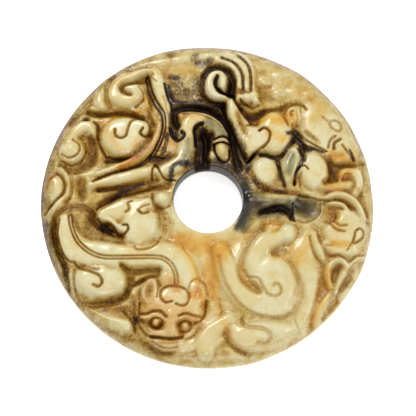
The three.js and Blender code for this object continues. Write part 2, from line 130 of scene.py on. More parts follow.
# Where it is browner: (x, y, reach) in millimetres, and how much. Below zero the ground stayed pale.
BROWNING = (
    (-5, 24, 8, 0.15),
    (-24, 11, 8, 0.4),
    (-12, 8, 7, 0.5),
    (-7.4, 11.6, 2, -0.7),
    (-22, -1, 9, 0.5),
    (-30, -8, 6, 0.5),
    (-17, -21, 7, 0.5),
    (-10, -30, 5, 0.4),
    (0, -28, 5, -0.2),
    (1, 15, 7, 0.8),
    (7, 19, 6, 0.5),
    (15, 24, 7, 0.35),
    (26, 6, 6, 0.5),
    (30, -4, 6, 0.2),
    (23, -20, 6, 0.2),
    (12, -2, 6, 0.5),
    (0, -11, 8, -0.2),
    (14, -18, 10, -0.18),
    (3, -27, 6, 0.35),
)

# Dirt collects in small cavities: their reach in millimetres, the dirt per millimetre of depth, its most.
CAVITY_REACH = 0.6
CAVITY_DIRT = 1.8
CAVITY_MOST = 0.6

# How strong all the umber dirt is on clean ground, how much browning adds, and its most.
UMBER_BASE = 0.3
UMBER_GAIN = 0.75
UMBER_MOST = 0.95

# Browning and painted shade on the ground where taller forms shelter it: the base, what each millimetre under
# them adds, how far off they count in millimetres, and what each millimetre of height takes away.
SHELTER_BASE = 0.45
SHELTER_GAIN = 0.65
SHELTER_REACH = 2.2
SHELTER_LOSS = 0.22

# The rim's dirt and painted shade, stronger towards the upper left: where it starts, in millimetres from the
# middle, how wide it fades in, how strong it is halfway round, over how many millimetres it changes across
# the disc, and its least and most.
RIM_START = 31.5
RIM_FADE = 2.5
RIM_DIRT_AND_SHADE = 0.55
RIM_CHANGE = 100
RIM_LEAST = 0.1
RIM_MOST = 0.9

# The shares of the rim's dirt and painted shade that are brown and grey-green.
RIM_BROWN_SHARE = 0.5
RIM_SLATE = 0.3

# The hand-worn outline: direction and spread in degrees, swelling in millimetres.
OUTLINE_SWELLINGS = (
    (55, 7, 0.25),
    (105, 6, 0.12),
    (90, 5, -0.12),
    (145, 12, -0.12),
    (180, 10, 0.12),
    (285, 6, 0.12),
    (335, 6, 0.18),
    (5, 6, -0.14),
)

# The dirt at the hole: how far out from its wall it starts, and over how many millimetres it fades in.
WALL_START = 0.8
WALL_FADE = 0.6

# The face's stains fade out down the rim: from what height, over how many millimetres, and over what slope.
FACE_LOW = 1.2
FACE_FADE = 1.8
FACE_SLOPE = -0.5
FACE_SLOPE_FADE = 0.4

# The side of the rim gets dirt and painted shade where it leans outwards: the slope that it starts at, how it
# fades in, the height over the back where it is full, and how near to the outline it stays, in millimetres.
SIDE_SLOPE = 0.75
SIDE_FADE = 0.3
SIDE_HEIGHT = 0.8
SIDE_WIDTH = 2

# Under its widest part the side's dirt and painted shade drop to this share, from this slope on.
SIDE_UNDER_SHARE = 0.45
SIDE_TURN = 0.05

# How strong the side's dirt and painted shade is: halfway round, how it leans to one side, over how many
# millimetres it changes, and its least and most.
SIDE_DIRT_AND_SHADE = 0.6
SIDE_LEAN = 0.3
SIDE_CHANGE = 60
SIDE_LEAST = 0.1
SIDE_MOST = 0.75

# The darkening of the hole's upper wall: where it starts and how it fades in, up the disc and then out from
# the wall, in millimetres, and how black and how brown it is.
UPPER_WALL_START = -4
UPPER_WALL_FADE = 6
UPPER_WALL_DEPTH = 0.3
UPPER_WALL_EDGE = 0.25
UPPER_WALL_BLACK = 0.9
UPPER_WALL_UMBER = 0.6

# The stone's noises: turns per millimetre, detail, roughness and distortion.
NOISES = {
    "clouds": (0.12, 5, 0.6, 0.6),
    "blotches": (0.42, 6, 0.65, 0.3),
    "specks": (1.5, 6, 0.75, 0),
    "grains": (3.8, 5, 0.75, 0),
    "pits": (2.6, 3, 0.6, 0),
}

# The shares of two noises in a finer and in a wider mixed one, and the span that is stretched to the whole
# range.
FINE_SHARES = (0.5, 0.5)
WIDE_SHARES = (0.45, 0.55)
NOISE_SPAN = (0.34, 0.66)

# How the clean stone turns from pale to honey, by the wide noise and by the clouds: the noise where it starts
# and ends, and the share of honey there.
HONEY_BY_NOISE = (0.35, 1.0, 0.0, 0.65)
HONEY_BY_CLOUDS = (0.42, 0.62, 0.0, 0.5)

# The fine relief of the surface: the shares of grains and specks, the noise where pits start and are full,
# their share, and the strength and the height in metres.
BUMP_SHARES = (0.5, 0.9)
PIT_SPAN = (0.7, 0.78)
PIT_SHARE = 0.8
BUMP_STRENGTH = 0.35
BUMP_HEIGHT = 0.06 * MM

# The polish: how specks set the roughness, and what dirt adds to it; and how dirt takes the shine away.
ROUGHNESS_BY_SPECKS = (0.3, 0.75, 0.1, 0.3)
ROUGHNESS_OF_DIRT = 0.25
SHINE_BY_DIRT = (0.15, 0.7, 0.5, 0.12)

# The stone lets some light in: the share, and how far each colour goes, in millimetres.
CLOUDY_SHARE = 0.18
CLOUDY_REACH = (1.3, 1.0, 0.6)

# Noise pushes a stain about fully from this much stain on.
THIN_STAIN = 0.3

# The stains in the order that they lie on the stone: the noise that breaks each up, how much it does, and its
# tints from thin to thick.
# The soil, slate and umber layers also colour painted shade: on the ground between forms, round the rim and
# down its side.
STAIN_LAYERS = (
    ("honey", "wide", 0.4, ("honey",)),
    ("soil", "wide", 0.7, ("soil_light", "soil", "soil_dark")),
    ("slate", "wide", 0.4, ("slate_light", "slate")),
    ("peach", "wide", 0.5, ("peach_light", "peach")),
    ("ochre", "wide", 0.4, ("ochre_light", "ochre")),
    ("umber", "fine", 0.45, ("umber_light", "umber", "umber_dark")),
    ("black", "fine", 0.75, ("black_light", "black", "black_dark")),
)

# The lights: name, place, size and power, in metres and watts. Each faces the point that follows.
LIGHTS = (
    ("Key", (-0.10, 0.20, 0.26), 0.12, 0.5),
    ("Fill", (0.26, -0.04, 0.22), 0.16, 0.22),
    ("Front", (0.02, -0.28, 0.26), 0.14, 0.2),
    ("Top", (0, 0.02, 0.42), 0.3, 0.12),
)
LIGHTS_AIM = (0, 0, 0.003)

# The even light of the room: its colour and strength.
ROOM_COLOUR = (1, 0.99, 0.96)
ROOM_STRENGTH = 0.44

# The floor: its width in metres, its roughness and how brightly it glows.
FLOOR_SIZE = 40
FLOOR_ROUGHNESS = 0.8
FLOOR_GLOW = 0.6

# The camera as fitted to the photo: turn and tilt in degrees, and aim, distance, lens and film in
# millimetres.
CAMERA_TURN = -5.65
CAMERA_TILT = 75
CAMERA_AIM = (0, -1.37, 2.6)
CAMERA_DISTANCE = 225.6
CAMERA_LENS = 92.77
CAMERA_FILM = 36


def length(name, description, default, low=0.0, high=0.2):
    """A length in metres, shown in the sidebar."""
    return FloatProperty(name=name, description=description, default=default * MM, min=low, max=high,
                         subtype="DISTANCE", unit="LENGTH", precision=5)


def count(name, description, default, low, high):
    """A whole number, shown in the sidebar."""
    return IntProperty(name=name, description=description, default=default, min=low, max=high)


def colour(name, description, red, green, blue):
    """A colour given as it looks on a screen, from 0 to 255, and kept in linear light."""
    linear = []
    for value in (red, green, blue):
        share = value / 255
        linear.append(share / 12.92 if share <= 0.04045 else ((share + 0.055) / 1.055) ** 2.4)
    return FloatVectorProperty(name=name, description=description, default=linear, min=0, max=1,
                               subtype="COLOR", size=3)


class JadeDiscSizes(bpy.types.PropertyGroup):
    """The sizes of the disc and of its carving."""

    disc_radius: length("Disc Radius", "Radius of the disc", 35)
    hole_radius: length("Hole Radius", "Radius of the hole", 7.3)
    plate_thickness: length("Plate Thickness", "Height of the face before carving, over the flat back", 5.2)
    relief_rise: length("Relief Rise", "How far the highest forms stand over the face", 1.6)
    recess_depth: length("Recess Depth", "How deep the deepest recesses go", 1.15)
    groove_depth: length("Groove Depth", "Depth of a full wheel-cut line", 0.62)
    groove_half_width: length("Groove Half Width", "Half the width of a full wheel-cut line", 0.34)
    rim_equator: length("Rim Equator", "Height of the widest part of the rim", 2.3)
    rim_shoulder: length("Rim Shoulder", "Width of the rounding from the face to the rim", 4.2)
    rim_undercut: length("Rim Undercut", "Width of the rounding from the rim to the back", 2.8)
    hole_lip: length("Hole Lip", "Rounding at the edges of the hole", 0.5)
    columns: count("Columns", "Facets round the disc before thinning", 1080, 96, 2000)
    face_rows: count("Face Rows", "Rows of facets across the face", 230, 20, 500)
    triangles: count("Triangles", "Triangles left after thinning", 190000, 5000, 199000)


class JadeDiscColours(bpy.types.PropertyGroup):
    """The colours of the stone, and of each stain as it looks on the palest stone."""

    pale: colour("Pale", "Pale celadon of the high, rubbed forms", 230, 222, 179)
    honey: colour("Honey", "Warmer, yellower patches of the high forms", 220, 193, 114)
    # The soil tints also colour the painted shade on the ground between forms and round the rim.
    soil_light: colour("Soil Light", "Faint browning of the ground", 206, 182, 106)
    soil: colour("Soil", "Browned ground", 160, 131, 66)
    soil_dark: colour("Soil Dark", "Heavily browned ground", 124, 98, 46)
    # The umber tints also colour the painted shade on the side of the rim.
    umber_light: colour("Umber Light", "Thin dirt beside the cuts", 194, 162, 86)
    umber: colour("Umber", "Dirt in the cuts", 134, 103, 46)
    umber_dark: colour("Umber Dark", "Thick dirt in the deepest cuts", 82, 59, 26)
    black_light: colour("Black Light", "Thin dark stain", 150, 131, 90)
    black: colour("Black", "Dark stain", 84, 68, 48)
    black_dark: colour("Black Dark", "Darkest stain, round the arch", 36, 28, 22)
    slate_light: colour("Slate Light", "Edge of the grey-green stone", 152, 147, 104)
    slate: colour("Slate", "Dark grey-green stone", 86, 82, 54)
    ochre_light: colour("Ochre Light", "Edge of the orange-yellow rust", 230, 198, 114)
    ochre: colour("Ochre", "Orange-yellow rust", 226, 176, 74)
    peach_light: colour("Peach Light", "Edge of the peach stain", 230, 206, 146)
    peach: colour("Peach", "Peach stain on the mask and the band", 218, 177, 114)
    floor: colour("Floor", "Pale floor", 250, 250, 250)


def smooth_line(points, closed=False, step=0.2):
    """A smooth line through some points, as many short steps. Each point is (x, y, half-width)."""
    points = np.array(points, float)
    if closed:
        ring = np.vstack([points[-1:], points, points[:2]])
    else:
        ring = np.vstack([2 * points[0] - points[1], points, 2 * points[-1] - points[-2]])
    line = [ring[1]]
    for before, start, end, after in zip(ring, ring[1:], ring[2:], ring[3:]):
        steps = max(2, int(np.hypot(*(end - start)[:2]) / step))
        for t in np.arange(1, steps + 1) / steps:
            bend = (2 * before - 5 * start + 4 * end - after) * t * t
            twist = (3 * (start - end) + after - before) * t ** 3
            line.append(start + 0.5 * ((end - before) * t + bend + twist))
    return np.array(line)


class CarvedFace:
    """The carved face on a fine square grid, in millimetres: its height over the plate, and its stains."""

    def __init__(self, sizes):
        self.rise = sizes.relief_rise / MM
        self.depth = sizes.recess_depth / MM
        self.groove = sizes.groove_depth / MM
        self.line_width = sizes.groove_half_width / MM
        side = np.arange(-GRID_REACH, GRID_REACH + 1) * GRID_STEP
        self.x, self.y = np.meshgrid(side, side)
        self.height = np.zeros(self.x.shape)
        self.cuts = np.zeros(self.x.shape)
        self.stains = {name: np.zeros(self.x.shape) for name in STAINS}
        self.dirt = {"umber": 0.8}

    def window(self, low, high):
        """The part of the grid between two corners."""
        first = np.floor((np.array(low) / GRID_STEP) + GRID_REACH).astype(int)
        last = np.ceil((np.array(high) / GRID_STEP) + GRID_REACH).astype(int) + 1
        first = np.maximum(first, 0)
        return slice(first[1], last[1]), slice(first[0], last[0])

    def along(self, points, closed=False, spread=1.0):
        """How far out each grid point lies from a line: 0 on it, 1 at its edge."""
        line = smooth_line(points, closed)
        line[:, 2] = np.maximum(line[:, 2], LEAST_HALF_WIDTH) * spread
        part = self.window((line[:, :2] - line[:, 2:]).min(0), (line[:, :2] + line[:, 2:]).max(0))
        x, y = self.x[part], self.y[part]
        nearest = np.full(x.shape, FAR_OUT)
        for (ax, ay, aw), (bx, by, bw) in zip(line, line[1:]):
            dx, dy = bx - ax, by - ay
            t = np.clip(((x - ax) * dx + (y - ay) * dy) / (dx * dx + dy * dy + TINY), 0, 1)
            out = np.hypot(x - ax - t * dx, y - ay - t * dy) / (aw + t * (bw - aw))
            nearest = np.minimum(nearest, out)
        return part, nearest * spread

    def across(self, x, y, long, wide, turn=0, spread=1.0):
        """How far out each grid point lies in an oval: 0 at its centre, 1 at its edge."""
        reach = max(long, wide) * spread
        part = self.window((x - reach, y - reach), (x + reach, y + reach))
        dx, dy = self.x[part] - x, self.y[part] - y
        c, s = math.cos(math.radians(turn)), math.sin(math.radians(turn))
        return part, np.hypot((dx * c + dy * s) / long, (dy * c - dx * s) / wide)

    def lift(self, part, out, amount, fullness):
        """Raises a rounded form from the deepest ground to a share of the relief's rise."""
        shape = np.clip(1 - out ** fullness, 0, 1) ** FORM_ROUNDING
        level = (amount * self.rise + self.depth) * shape - self.depth
        self.height[part] = np.where(out < 1, np.maximum(self.height[part], level), self.height[part])

    def ridge(self, amount, *points, fullness=2.6, closed=False):
        """Raises a rounded limb, strand or strap along a line."""
        part, out = self.along([(x, y, half * FILL) for x, y, half in points], closed)
        self.lift(part, out, amount, fullness)

    def dome(self, amount, *oval, fullness=2.6):
        """Raises a rounded oval."""
        part, out = self.across(*oval)
        self.lift(part, out, amount, fullness)

    def lower(self, part, out, amount):
        """Cuts a rounded hollow down to a share of the recesses' depth."""
        share = np.clip(1 - out * out, 0, 1) ** HOLLOW_ROUNDING
        floor = self.height[part] + (-amount * self.depth - self.height[part]) * share
        self.height[part] = np.minimum(self.height[part], floor)

    def mark(self, name, part, share):
        """Stains a part of the face, where it isn't stained more already."""
        self.stains[name][part] = np.maximum(self.stains[name][part], share)

    def soil(self, part, share, dirt):
        """Lays a cut's own dirt in it, or else the dirt that its figure has."""
        for name, strength in (dirt or self.dirt).items():
            self.mark(name, part, share * strength)

    def hollow(self, amount, *points, **dirt):
        """Cuts a rounded trough along a line, with dirt lodged in it."""
        part, out = self.along(points, spread=SEEP)
        self.lower(part, out, amount)
        self.seep(part, out, dirt)

    def dish(self, amount, *oval, **dirt):
        """Cuts a rounded oval hollow, with dirt lodged in it."""
        part, out = self.across(*oval, spread=SEEP)
        self.lower(part, out, amount)
        self.seep(part, out, dirt)

    def cut(self, amount, *points, width=1.0, closed=False, gap=0, **dirt):
        """Cuts a fine groove along (x, y) points, or two with a gap, and dirt lodges in it and beside it."""
        half = self.line_width * width
        apart = gap / 2 / half
        part, out = self.along([(x, y, half) for x, y in points], closed, HALO_WIDTH + apart)
        out = np.abs(out - apart)
        shape = np.clip(1 - out * out, 0, 1)
        self.cuts[part] = np.maximum(self.cuts[part], amount * self.groove * shape)
        self.soil(part, np.clip(PACKING - out ** 3, 0, 1) * min(1, amount), dirt)
        halo = np.clip(1 - out / HALO_WIDTH, 0, 1) ** HALO_FADE
        self.mark("umber", part, halo * HALO_SHARE * min(1, amount))

    def seep(self, part, out, dirt):
        """Dirt in a hollow: deepest in the middle, and fading a little way past its edge."""
        self.soil(part, np.clip(1 - (out / SEEP) ** 2, 0, 1) ** SEEP_FADE * SEEP_SHARE, dirt)

    def stain(self, name, strength, *points):
        """Tints the stone along a line, strongest in the middle and fading to its edge."""
        part, out = self.along(points)
        share = np.clip(1 - out, 0, 1)
        self.mark(name, part, share * share * (3 - 2 * share) * strength)

    def clean(self, amount, *oval):
        """Rubs an oval clean of its stains."""
        part, out = self.across(*oval)
        kept = 1 - amount * np.clip(CLEANING * (1 - out), 0, 1)
        for grid in self.stains.values():
            grid[part] *= kept

    def polish(self, grid, radius):
        """Softens a grid as rubbing does, over a radius in millimetres."""
        reach = int(3 * radius / GRID_STEP)
        bell = np.exp(-0.5 * (np.arange(-reach, reach + 1) * GRID_STEP / radius) ** 2)
        bell /= bell.sum()
        for _ in range(2):
            padded = np.pad(grid, ((reach, reach), (0, 0)), mode="edge")
            soft = np.zeros_like(grid)
            for i, weight in enumerate(bell):
                soft += weight * padded[i:i + len(grid)]
            grid = soft.T
        return grid

    def finish(self):
        """Polishes the forms, sinks the fine cuts into them, finds where dirt collects, lays browning and
        painted shade.
        """
        forms = self.polish(self.height, FORM_POLISH)
        forms += UNDERCUTTING * (forms - self.polish(forms, UNDERCUT_REACH))
        for turn, pace, lag in UNDULATIONS:
            across = self.x * math.cos(turn) + self.y * math.sin(turn)
            swell = np.cos(across * UNDULATION_SWELL * pace + 2 * lag)
            forms += UNDULATION_HEIGHT * np.sin(across * pace + lag) * swell
        self.height = self.polish(forms - self.cuts, CUT_POLISH)
        browning = np.full(self.x.shape, BROWNING_BASE)
        for x, y, reach, amount in BROWNING:
            browning += amount * np.exp(-((self.x - x) ** 2 + (self.y - y) ** 2) / reach ** 2)
        browning = np.clip(browning, 0, BROWNING_MOST)
        sunk = self.polish(self.height, CAVITY_REACH) - self.height
        umber = np.maximum(self.stains["umber"], np.clip(sunk * CAVITY_DIRT, 0, CAVITY_MOST))
        self.stains["umber"] = umber * np.clip(UMBER_BASE + UMBER_GAIN * browning, 0, UMBER_MOST)
        # Browning and painted shade, laid into the soil stain: darker on the ground between taller forms,
        # paler on their tops.
        sheltered = self.polish(forms, SHELTER_REACH) - forms
        shelter = SHELTER_BASE + SHELTER_GAIN * sheltered - SHELTER_LOSS * forms
        # Dirt and painted shade round the rim, stronger towards the upper left, laid into the soil and slate
        # stains.
        rim = np.clip((np.hypot(self.x, self.y) - RIM_START) / RIM_FADE, 0, 1)
        rim *= np.clip(RIM_DIRT_AND_SHADE + (self.y - self.x) / RIM_CHANGE, RIM_LEAST, RIM_MOST)
        self.stains["soil"] = np.maximum(np.clip(shelter, 0, 1) * browning, RIM_BROWN_SHARE * rim)
        self.stains["slate"] = np.maximum(self.stains["slate"], RIM_SLATE * rim)

    def sample(self, grid, x, y):
        """Reads a grid at some places, in millimetres."""
        across, up = x / GRID_STEP + GRID_REACH, y / GRID_STEP + GRID_REACH
        i, j = np.floor(across).astype(int), np.floor(up).astype(int)
        a, b = across - i, up - j
        low = grid[j, i] * (1 - a) + grid[j, i + 1] * a
        high = grid[j + 1, i] * (1 - a) + grid[j + 1, i + 1] * a
        return low * (1 - b) + high * b


def carve_upper_left(face):
    """The tail scroll, strap, haunch and forefoot at the upper left."""
    face.dirt = {"umber": 0.85}
    face.hollow(0.7, (-26, 19, 0.5), (-23.6, 18.3, 0.8), (-20, 18.7, 0.9), (-16.6, 18.8, 0.8),
        (-14, 17.8, 0.7))
    face.hollow(0.65, (-12.8, 26.6, 1), (-12.6, 24.4, 0.8), (-12, 21, 0.9), (-12.4, 18.4, 0.9),
        (-11.8, 16, 0.7), umber=0.9)
    face.hollow(0.8, (-12, 14.6, 0.6), (-12.8, 12.3, 1), (-14.2, 10.6, 1.2), (-16.4, 8.8, 0.8),
        (-21.3, 8, 0.5), umber=0.8)
    face.hollow(0.6, (-24.6, 13, 0.8), (-24.4, 10, 1.4), (-25, 7.4, 1.3), (-28.4, 6, 1), (-31, 7, 0.6),
        umber=0.4)
    face.hollow(0.6, (-25.4, 17.5, 0.6), (-27.2, 16.4, 0.45), (-29.4, 15, 0.35), umber=0.9)
    face.hollow(0.4, (-31, 12, 0.4), (-29.6, 15.8, 0.4), (-27.4, 18.8, 0.5), (-25, 21.6, 0.5), umber=0.4)
    face.ridge(0.3, (-31.8, 12, 0.5), (-29, 18.4, 0.7), (-24.4, 24, 0.8))
    face.ridge(0.55, (-18.6, 28.4, 1.2), (-21.6, 26.2, 1.8), (-23.2, 23.6, 1.7), (-23.2, 21.4, 1.3),
        (-22.4, 19.8, 0.7))
    face.dome(0.85, -17.5, 23.1, 4.1, 3.5, fullness=5)
    face.ridge(0.85, (-11.6, 28.4, 0.7), (-14.6, 27.6, 1), (-17.2, 26.4, 1.5), (-19.2, 24.6, 2),
        (-19.6, 22.6, 2), fullness=4)
    face.hollow(0.8, (-12.8, 26.6, 1), (-14.3, 26.1, 0.9), (-16.2, 25.4, 0.5), (-17.9, 25, 0.5),
        (-18.5, 24.2, 0.55), (-18, 23.3, 0.5), (-17.1, 22.9, 0.4), (-16.2, 22.5, 0.2), umber=0.9)
    face.ridge(0.8, (-11.2, 27.4, 1.4), (-10.5, 24.6, 1.5), (-9.8, 22, 1.4), (-9, 19.8, 1.2),
        (-8.7, 17.6, 0.8), (-8.7, 15.6, 0.45), fullness=4.4)
    face.ridge(0.3, (-13.3, 22.4, 0.35), (-12.5, 19.8, 0.4), (-11.3, 17, 0.5))
    face.ridge(0.5, (-10.2, 16.4, 0.6), (-10.8, 14, 0.8), (-11.8, 11.8, 0.9), (-13.4, 9.9, 1),
        (-16, 8.2, 0.9), (-19, 6.8, 0.7), (-23.4, 5.2, 0.5))
    face.dome(1, -17.6, 13.3, 5.5, 4.7, fullness=4)
    face.ridge(0.95, (-15.2, 15.4, 1.9), (-14, 15, 1.9), fullness=3.6)
    face.ridge(0.7, (-15.9, 19.3, 0.3), (-14.6, 18.4, 0.4))
    face.ridge(0.75, (-30, 12.4, 1.4), (-28.6, 14.2, 1.8), (-26.6, 15.4, 1.5), (-24.9, 15.4, 1.1),
        (-24.2, 14, 0.7), fullness=4)
    face.dome(0.7, -28.7, 10.4, 2.9, 3.2, fullness=4)
    face.dome(1, -28.9, 10.5, 1.9, 1.8, fullness=2.8)
    face.ridge(0.4, (-25.8, 13.7, 0.3), (-25, 14.2, 0.4))
    face.dome(0.65, -32.6, 2, 2.9, 3.7, fullness=3.6)
    face.ridge(0.4, (-30.8, 6.4, 0.5), (-29.3, 4.2, 0.55), (-29.2, 1.2, 0.55), (-31, -1.2, 0.5),
        (-33, -3.2, 0.5))
    face.ridge(0.65, (-24.8, 2.6, 0.8), (-20, 3.8, 1.3), (-15, 5.2, 1.3), (-11.8, 6, 1.1), fullness=3.2)
    face.hollow(0.6, (-23, 1.8, 0.5), (-17, 2.5, 0.6), (-14, 3.2, 0.6), (-10.6, 3.9, 0.5), umber=0.6)
    face.cut(0.9, (-15, 17.4), (-16.2, 16.6), (-16.9, 14.8), (-17.3, 13.3), (-18.4, 12.7), (-19.5, 13.3),
        (-19.6, 14.6))
    face.cut(1, (-15, 17.4), (-13.3, 17.1), (-12.3, 15.9), (-12.4, 14), (-13.4, 13.2), (-14.3, 13.9),
        (-13.8, 14.9), width=1.1, umber=1)
    face.cut(1.1, (-25.4, 18.9), (-22, 18.5), (-18.4, 18.9), (-15.6, 18.2), (-13.6, 17.6), width=1.8,
        umber=1)
    face.cut(0.8, (-20.2, 26.9), (-21.5, 24.9), (-21.6, 22.2), (-20.7, 19.7), width=1.7, umber=0.7)
    face.cut(0.6, (-17.4, 27.3), (-15.6, 28.4), (-13.4, 28.9), (-11.8, 28.6), umber=0.6)
    face.cut(0.8, (-14.7, 24.5), (-13.8, 23.4), (-13.8, 21.8), (-15.4, 20), width=0.8)
    face.cut(1, (-13, 26.8), (-12.2, 23.6), (-11, 20.8), (-9.7, 18.6), (-9.3, 16.4), (-9.8, 13.4),
        (-11.2, 10.2), (-12.1, 9), width=0.6, gap=0.6, black=0.8)
    face.cut(0.9, (-12.1, 9), (-14, 7.4), (-16.4, 6.3), (-20.4, 5.2), (-23.9, 3.5), width=0.7, gap=0.4)
    face.cut(1, (-9.2, 25.2), (-8.7, 22.8), (-7.8, 20.4), (-7.6, 19.2), width=1.1, black=0.95)
    face.cut(0.5, (-9.6, 22.2), (-9, 20.4), (-8.7, 18.4), width=0.7)
    face.cut(0.7, (-12.3, 26.9), (-11.6, 25.9), (-11, 25.4), width=0.6)
    face.cut(0.8, (-8.7, 14), (-8.9, 12), (-9.7, 9.6), width=1.4, black=0.75)
    face.cut(0.8, (-12.1, 9.1), (-10.6, 9), (-9.3, 8.8), width=0.9, black=0.9)
    face.cut(0.5, (-11, 10.5), (-8.9, 10.3), width=0.8)
    face.cut(0.9, (-24.2, 16.7), (-23.3, 15.7), (-23.3, 13.2), (-22.5, 10.8), (-21.4, 8.9))
    face.cut(0.8, (-21.2, 9), (-19.5, 8.6), (-17.8, 8.5), (-16.4, 8.8), width=0.9, umber=1)
    face.cut(0.8, (-28.4, 12.4), (-27.2, 11.6), (-26.9, 10.2), (-27.8, 8.9), (-29.4, 8.5), (-30.7, 9.4),
        width=0.8)
    face.cut(0.7, (-25.9, 12), (-25.7, 9.6), (-27, 7.7), (-29, 7.1), (-30.8, 8), width=0.9, umber=0.9)
    face.cut(0.9, (-31.6, 5.3), (-30.4, 4.2), (-29.9, 2.6), (-30.3, 0.8), (-32.2, -1.2), (-34, -3.4),
        width=0.9)
    face.cut(0.7, (-30.2, 6.8), (-28.6, 4.2), (-28.5, 1), (-29.4, -1), width=1.2, umber=0.6)
    face.cut(0.9, (-11.8, 4.2), (-11.7, 5.8), (-11.2, 7.2), (-10.6, 6.6), (-10, 5.2), (-8.8, 4.1),
        (-6.8, 3.9), width=0.8)
    face.stain("peach", 1, (-10.4, 16, 0.9), (-11, 13.6, 1.2), (-12.6, 10.6, 1.3), (-15.6, 8.2, 1.3),
        (-19, 6.6, 0.9))
    face.stain("ochre", 0.6, (-15, 8.6, 1), (-18.6, 6.7, 0.9))
    face.stain("peach", 1, (-9.2, 15, 0.8), (-10, 11.4, 1), (-7.4, 12, 1.3), (-6.6, 11.2, 1))
    face.stain("ochre", 0.7, (-13.4, 21.8, 0.9), (-12.9, 19.6, 0.8), (-20.5, 17.3, 1.2))
    face.stain("peach", 0.5, (-22, 16.6, 1.6), (-18, 9.8, 1.8), (-14, 12.6, 1.6))
    face.stain("umber", 0.9, (-12.2, 8.4, 1.2), (-9.8, 8.6, 1.9), (-7.6, 9.4, 1.7), (-6.8, 9, 1))
    face.stain("umber", 0.75, (-24.4, 12.6, 0.9), (-24.2, 12, 0.8))
    face.stain("umber", 0.9, (-11.9, 27.2, 0.7), (-11.4, 27, 0.6))
    face.stain("umber", 0.7, (-25.2, 20.6, 1.3), (-26, 19.4, 1), (-28, 17.6, 0.7))
    face.stain("black", 0.8, (-26.2, 17.2, 0.8), (-25.8, 17.3, 0.8))
    face.stain("ochre", 0.8, (-33.6, 3.8, 1.3), (-32.6, 4.6, 1.1))
    face.stain("umber", 0.8, (-31.8, 5.1, 0.6), (-33, 4, 0.6), (-33.8, 5, 0.8))
    face.stain("umber", 0.55, (-27, 3.6, 1.3), (-26.6, 0.6, 1.2))
    face.stain("honey", 1, (-21, 25, 2), (-14, 28.4, 1.4), (-10.4, 27.6, 1.6))


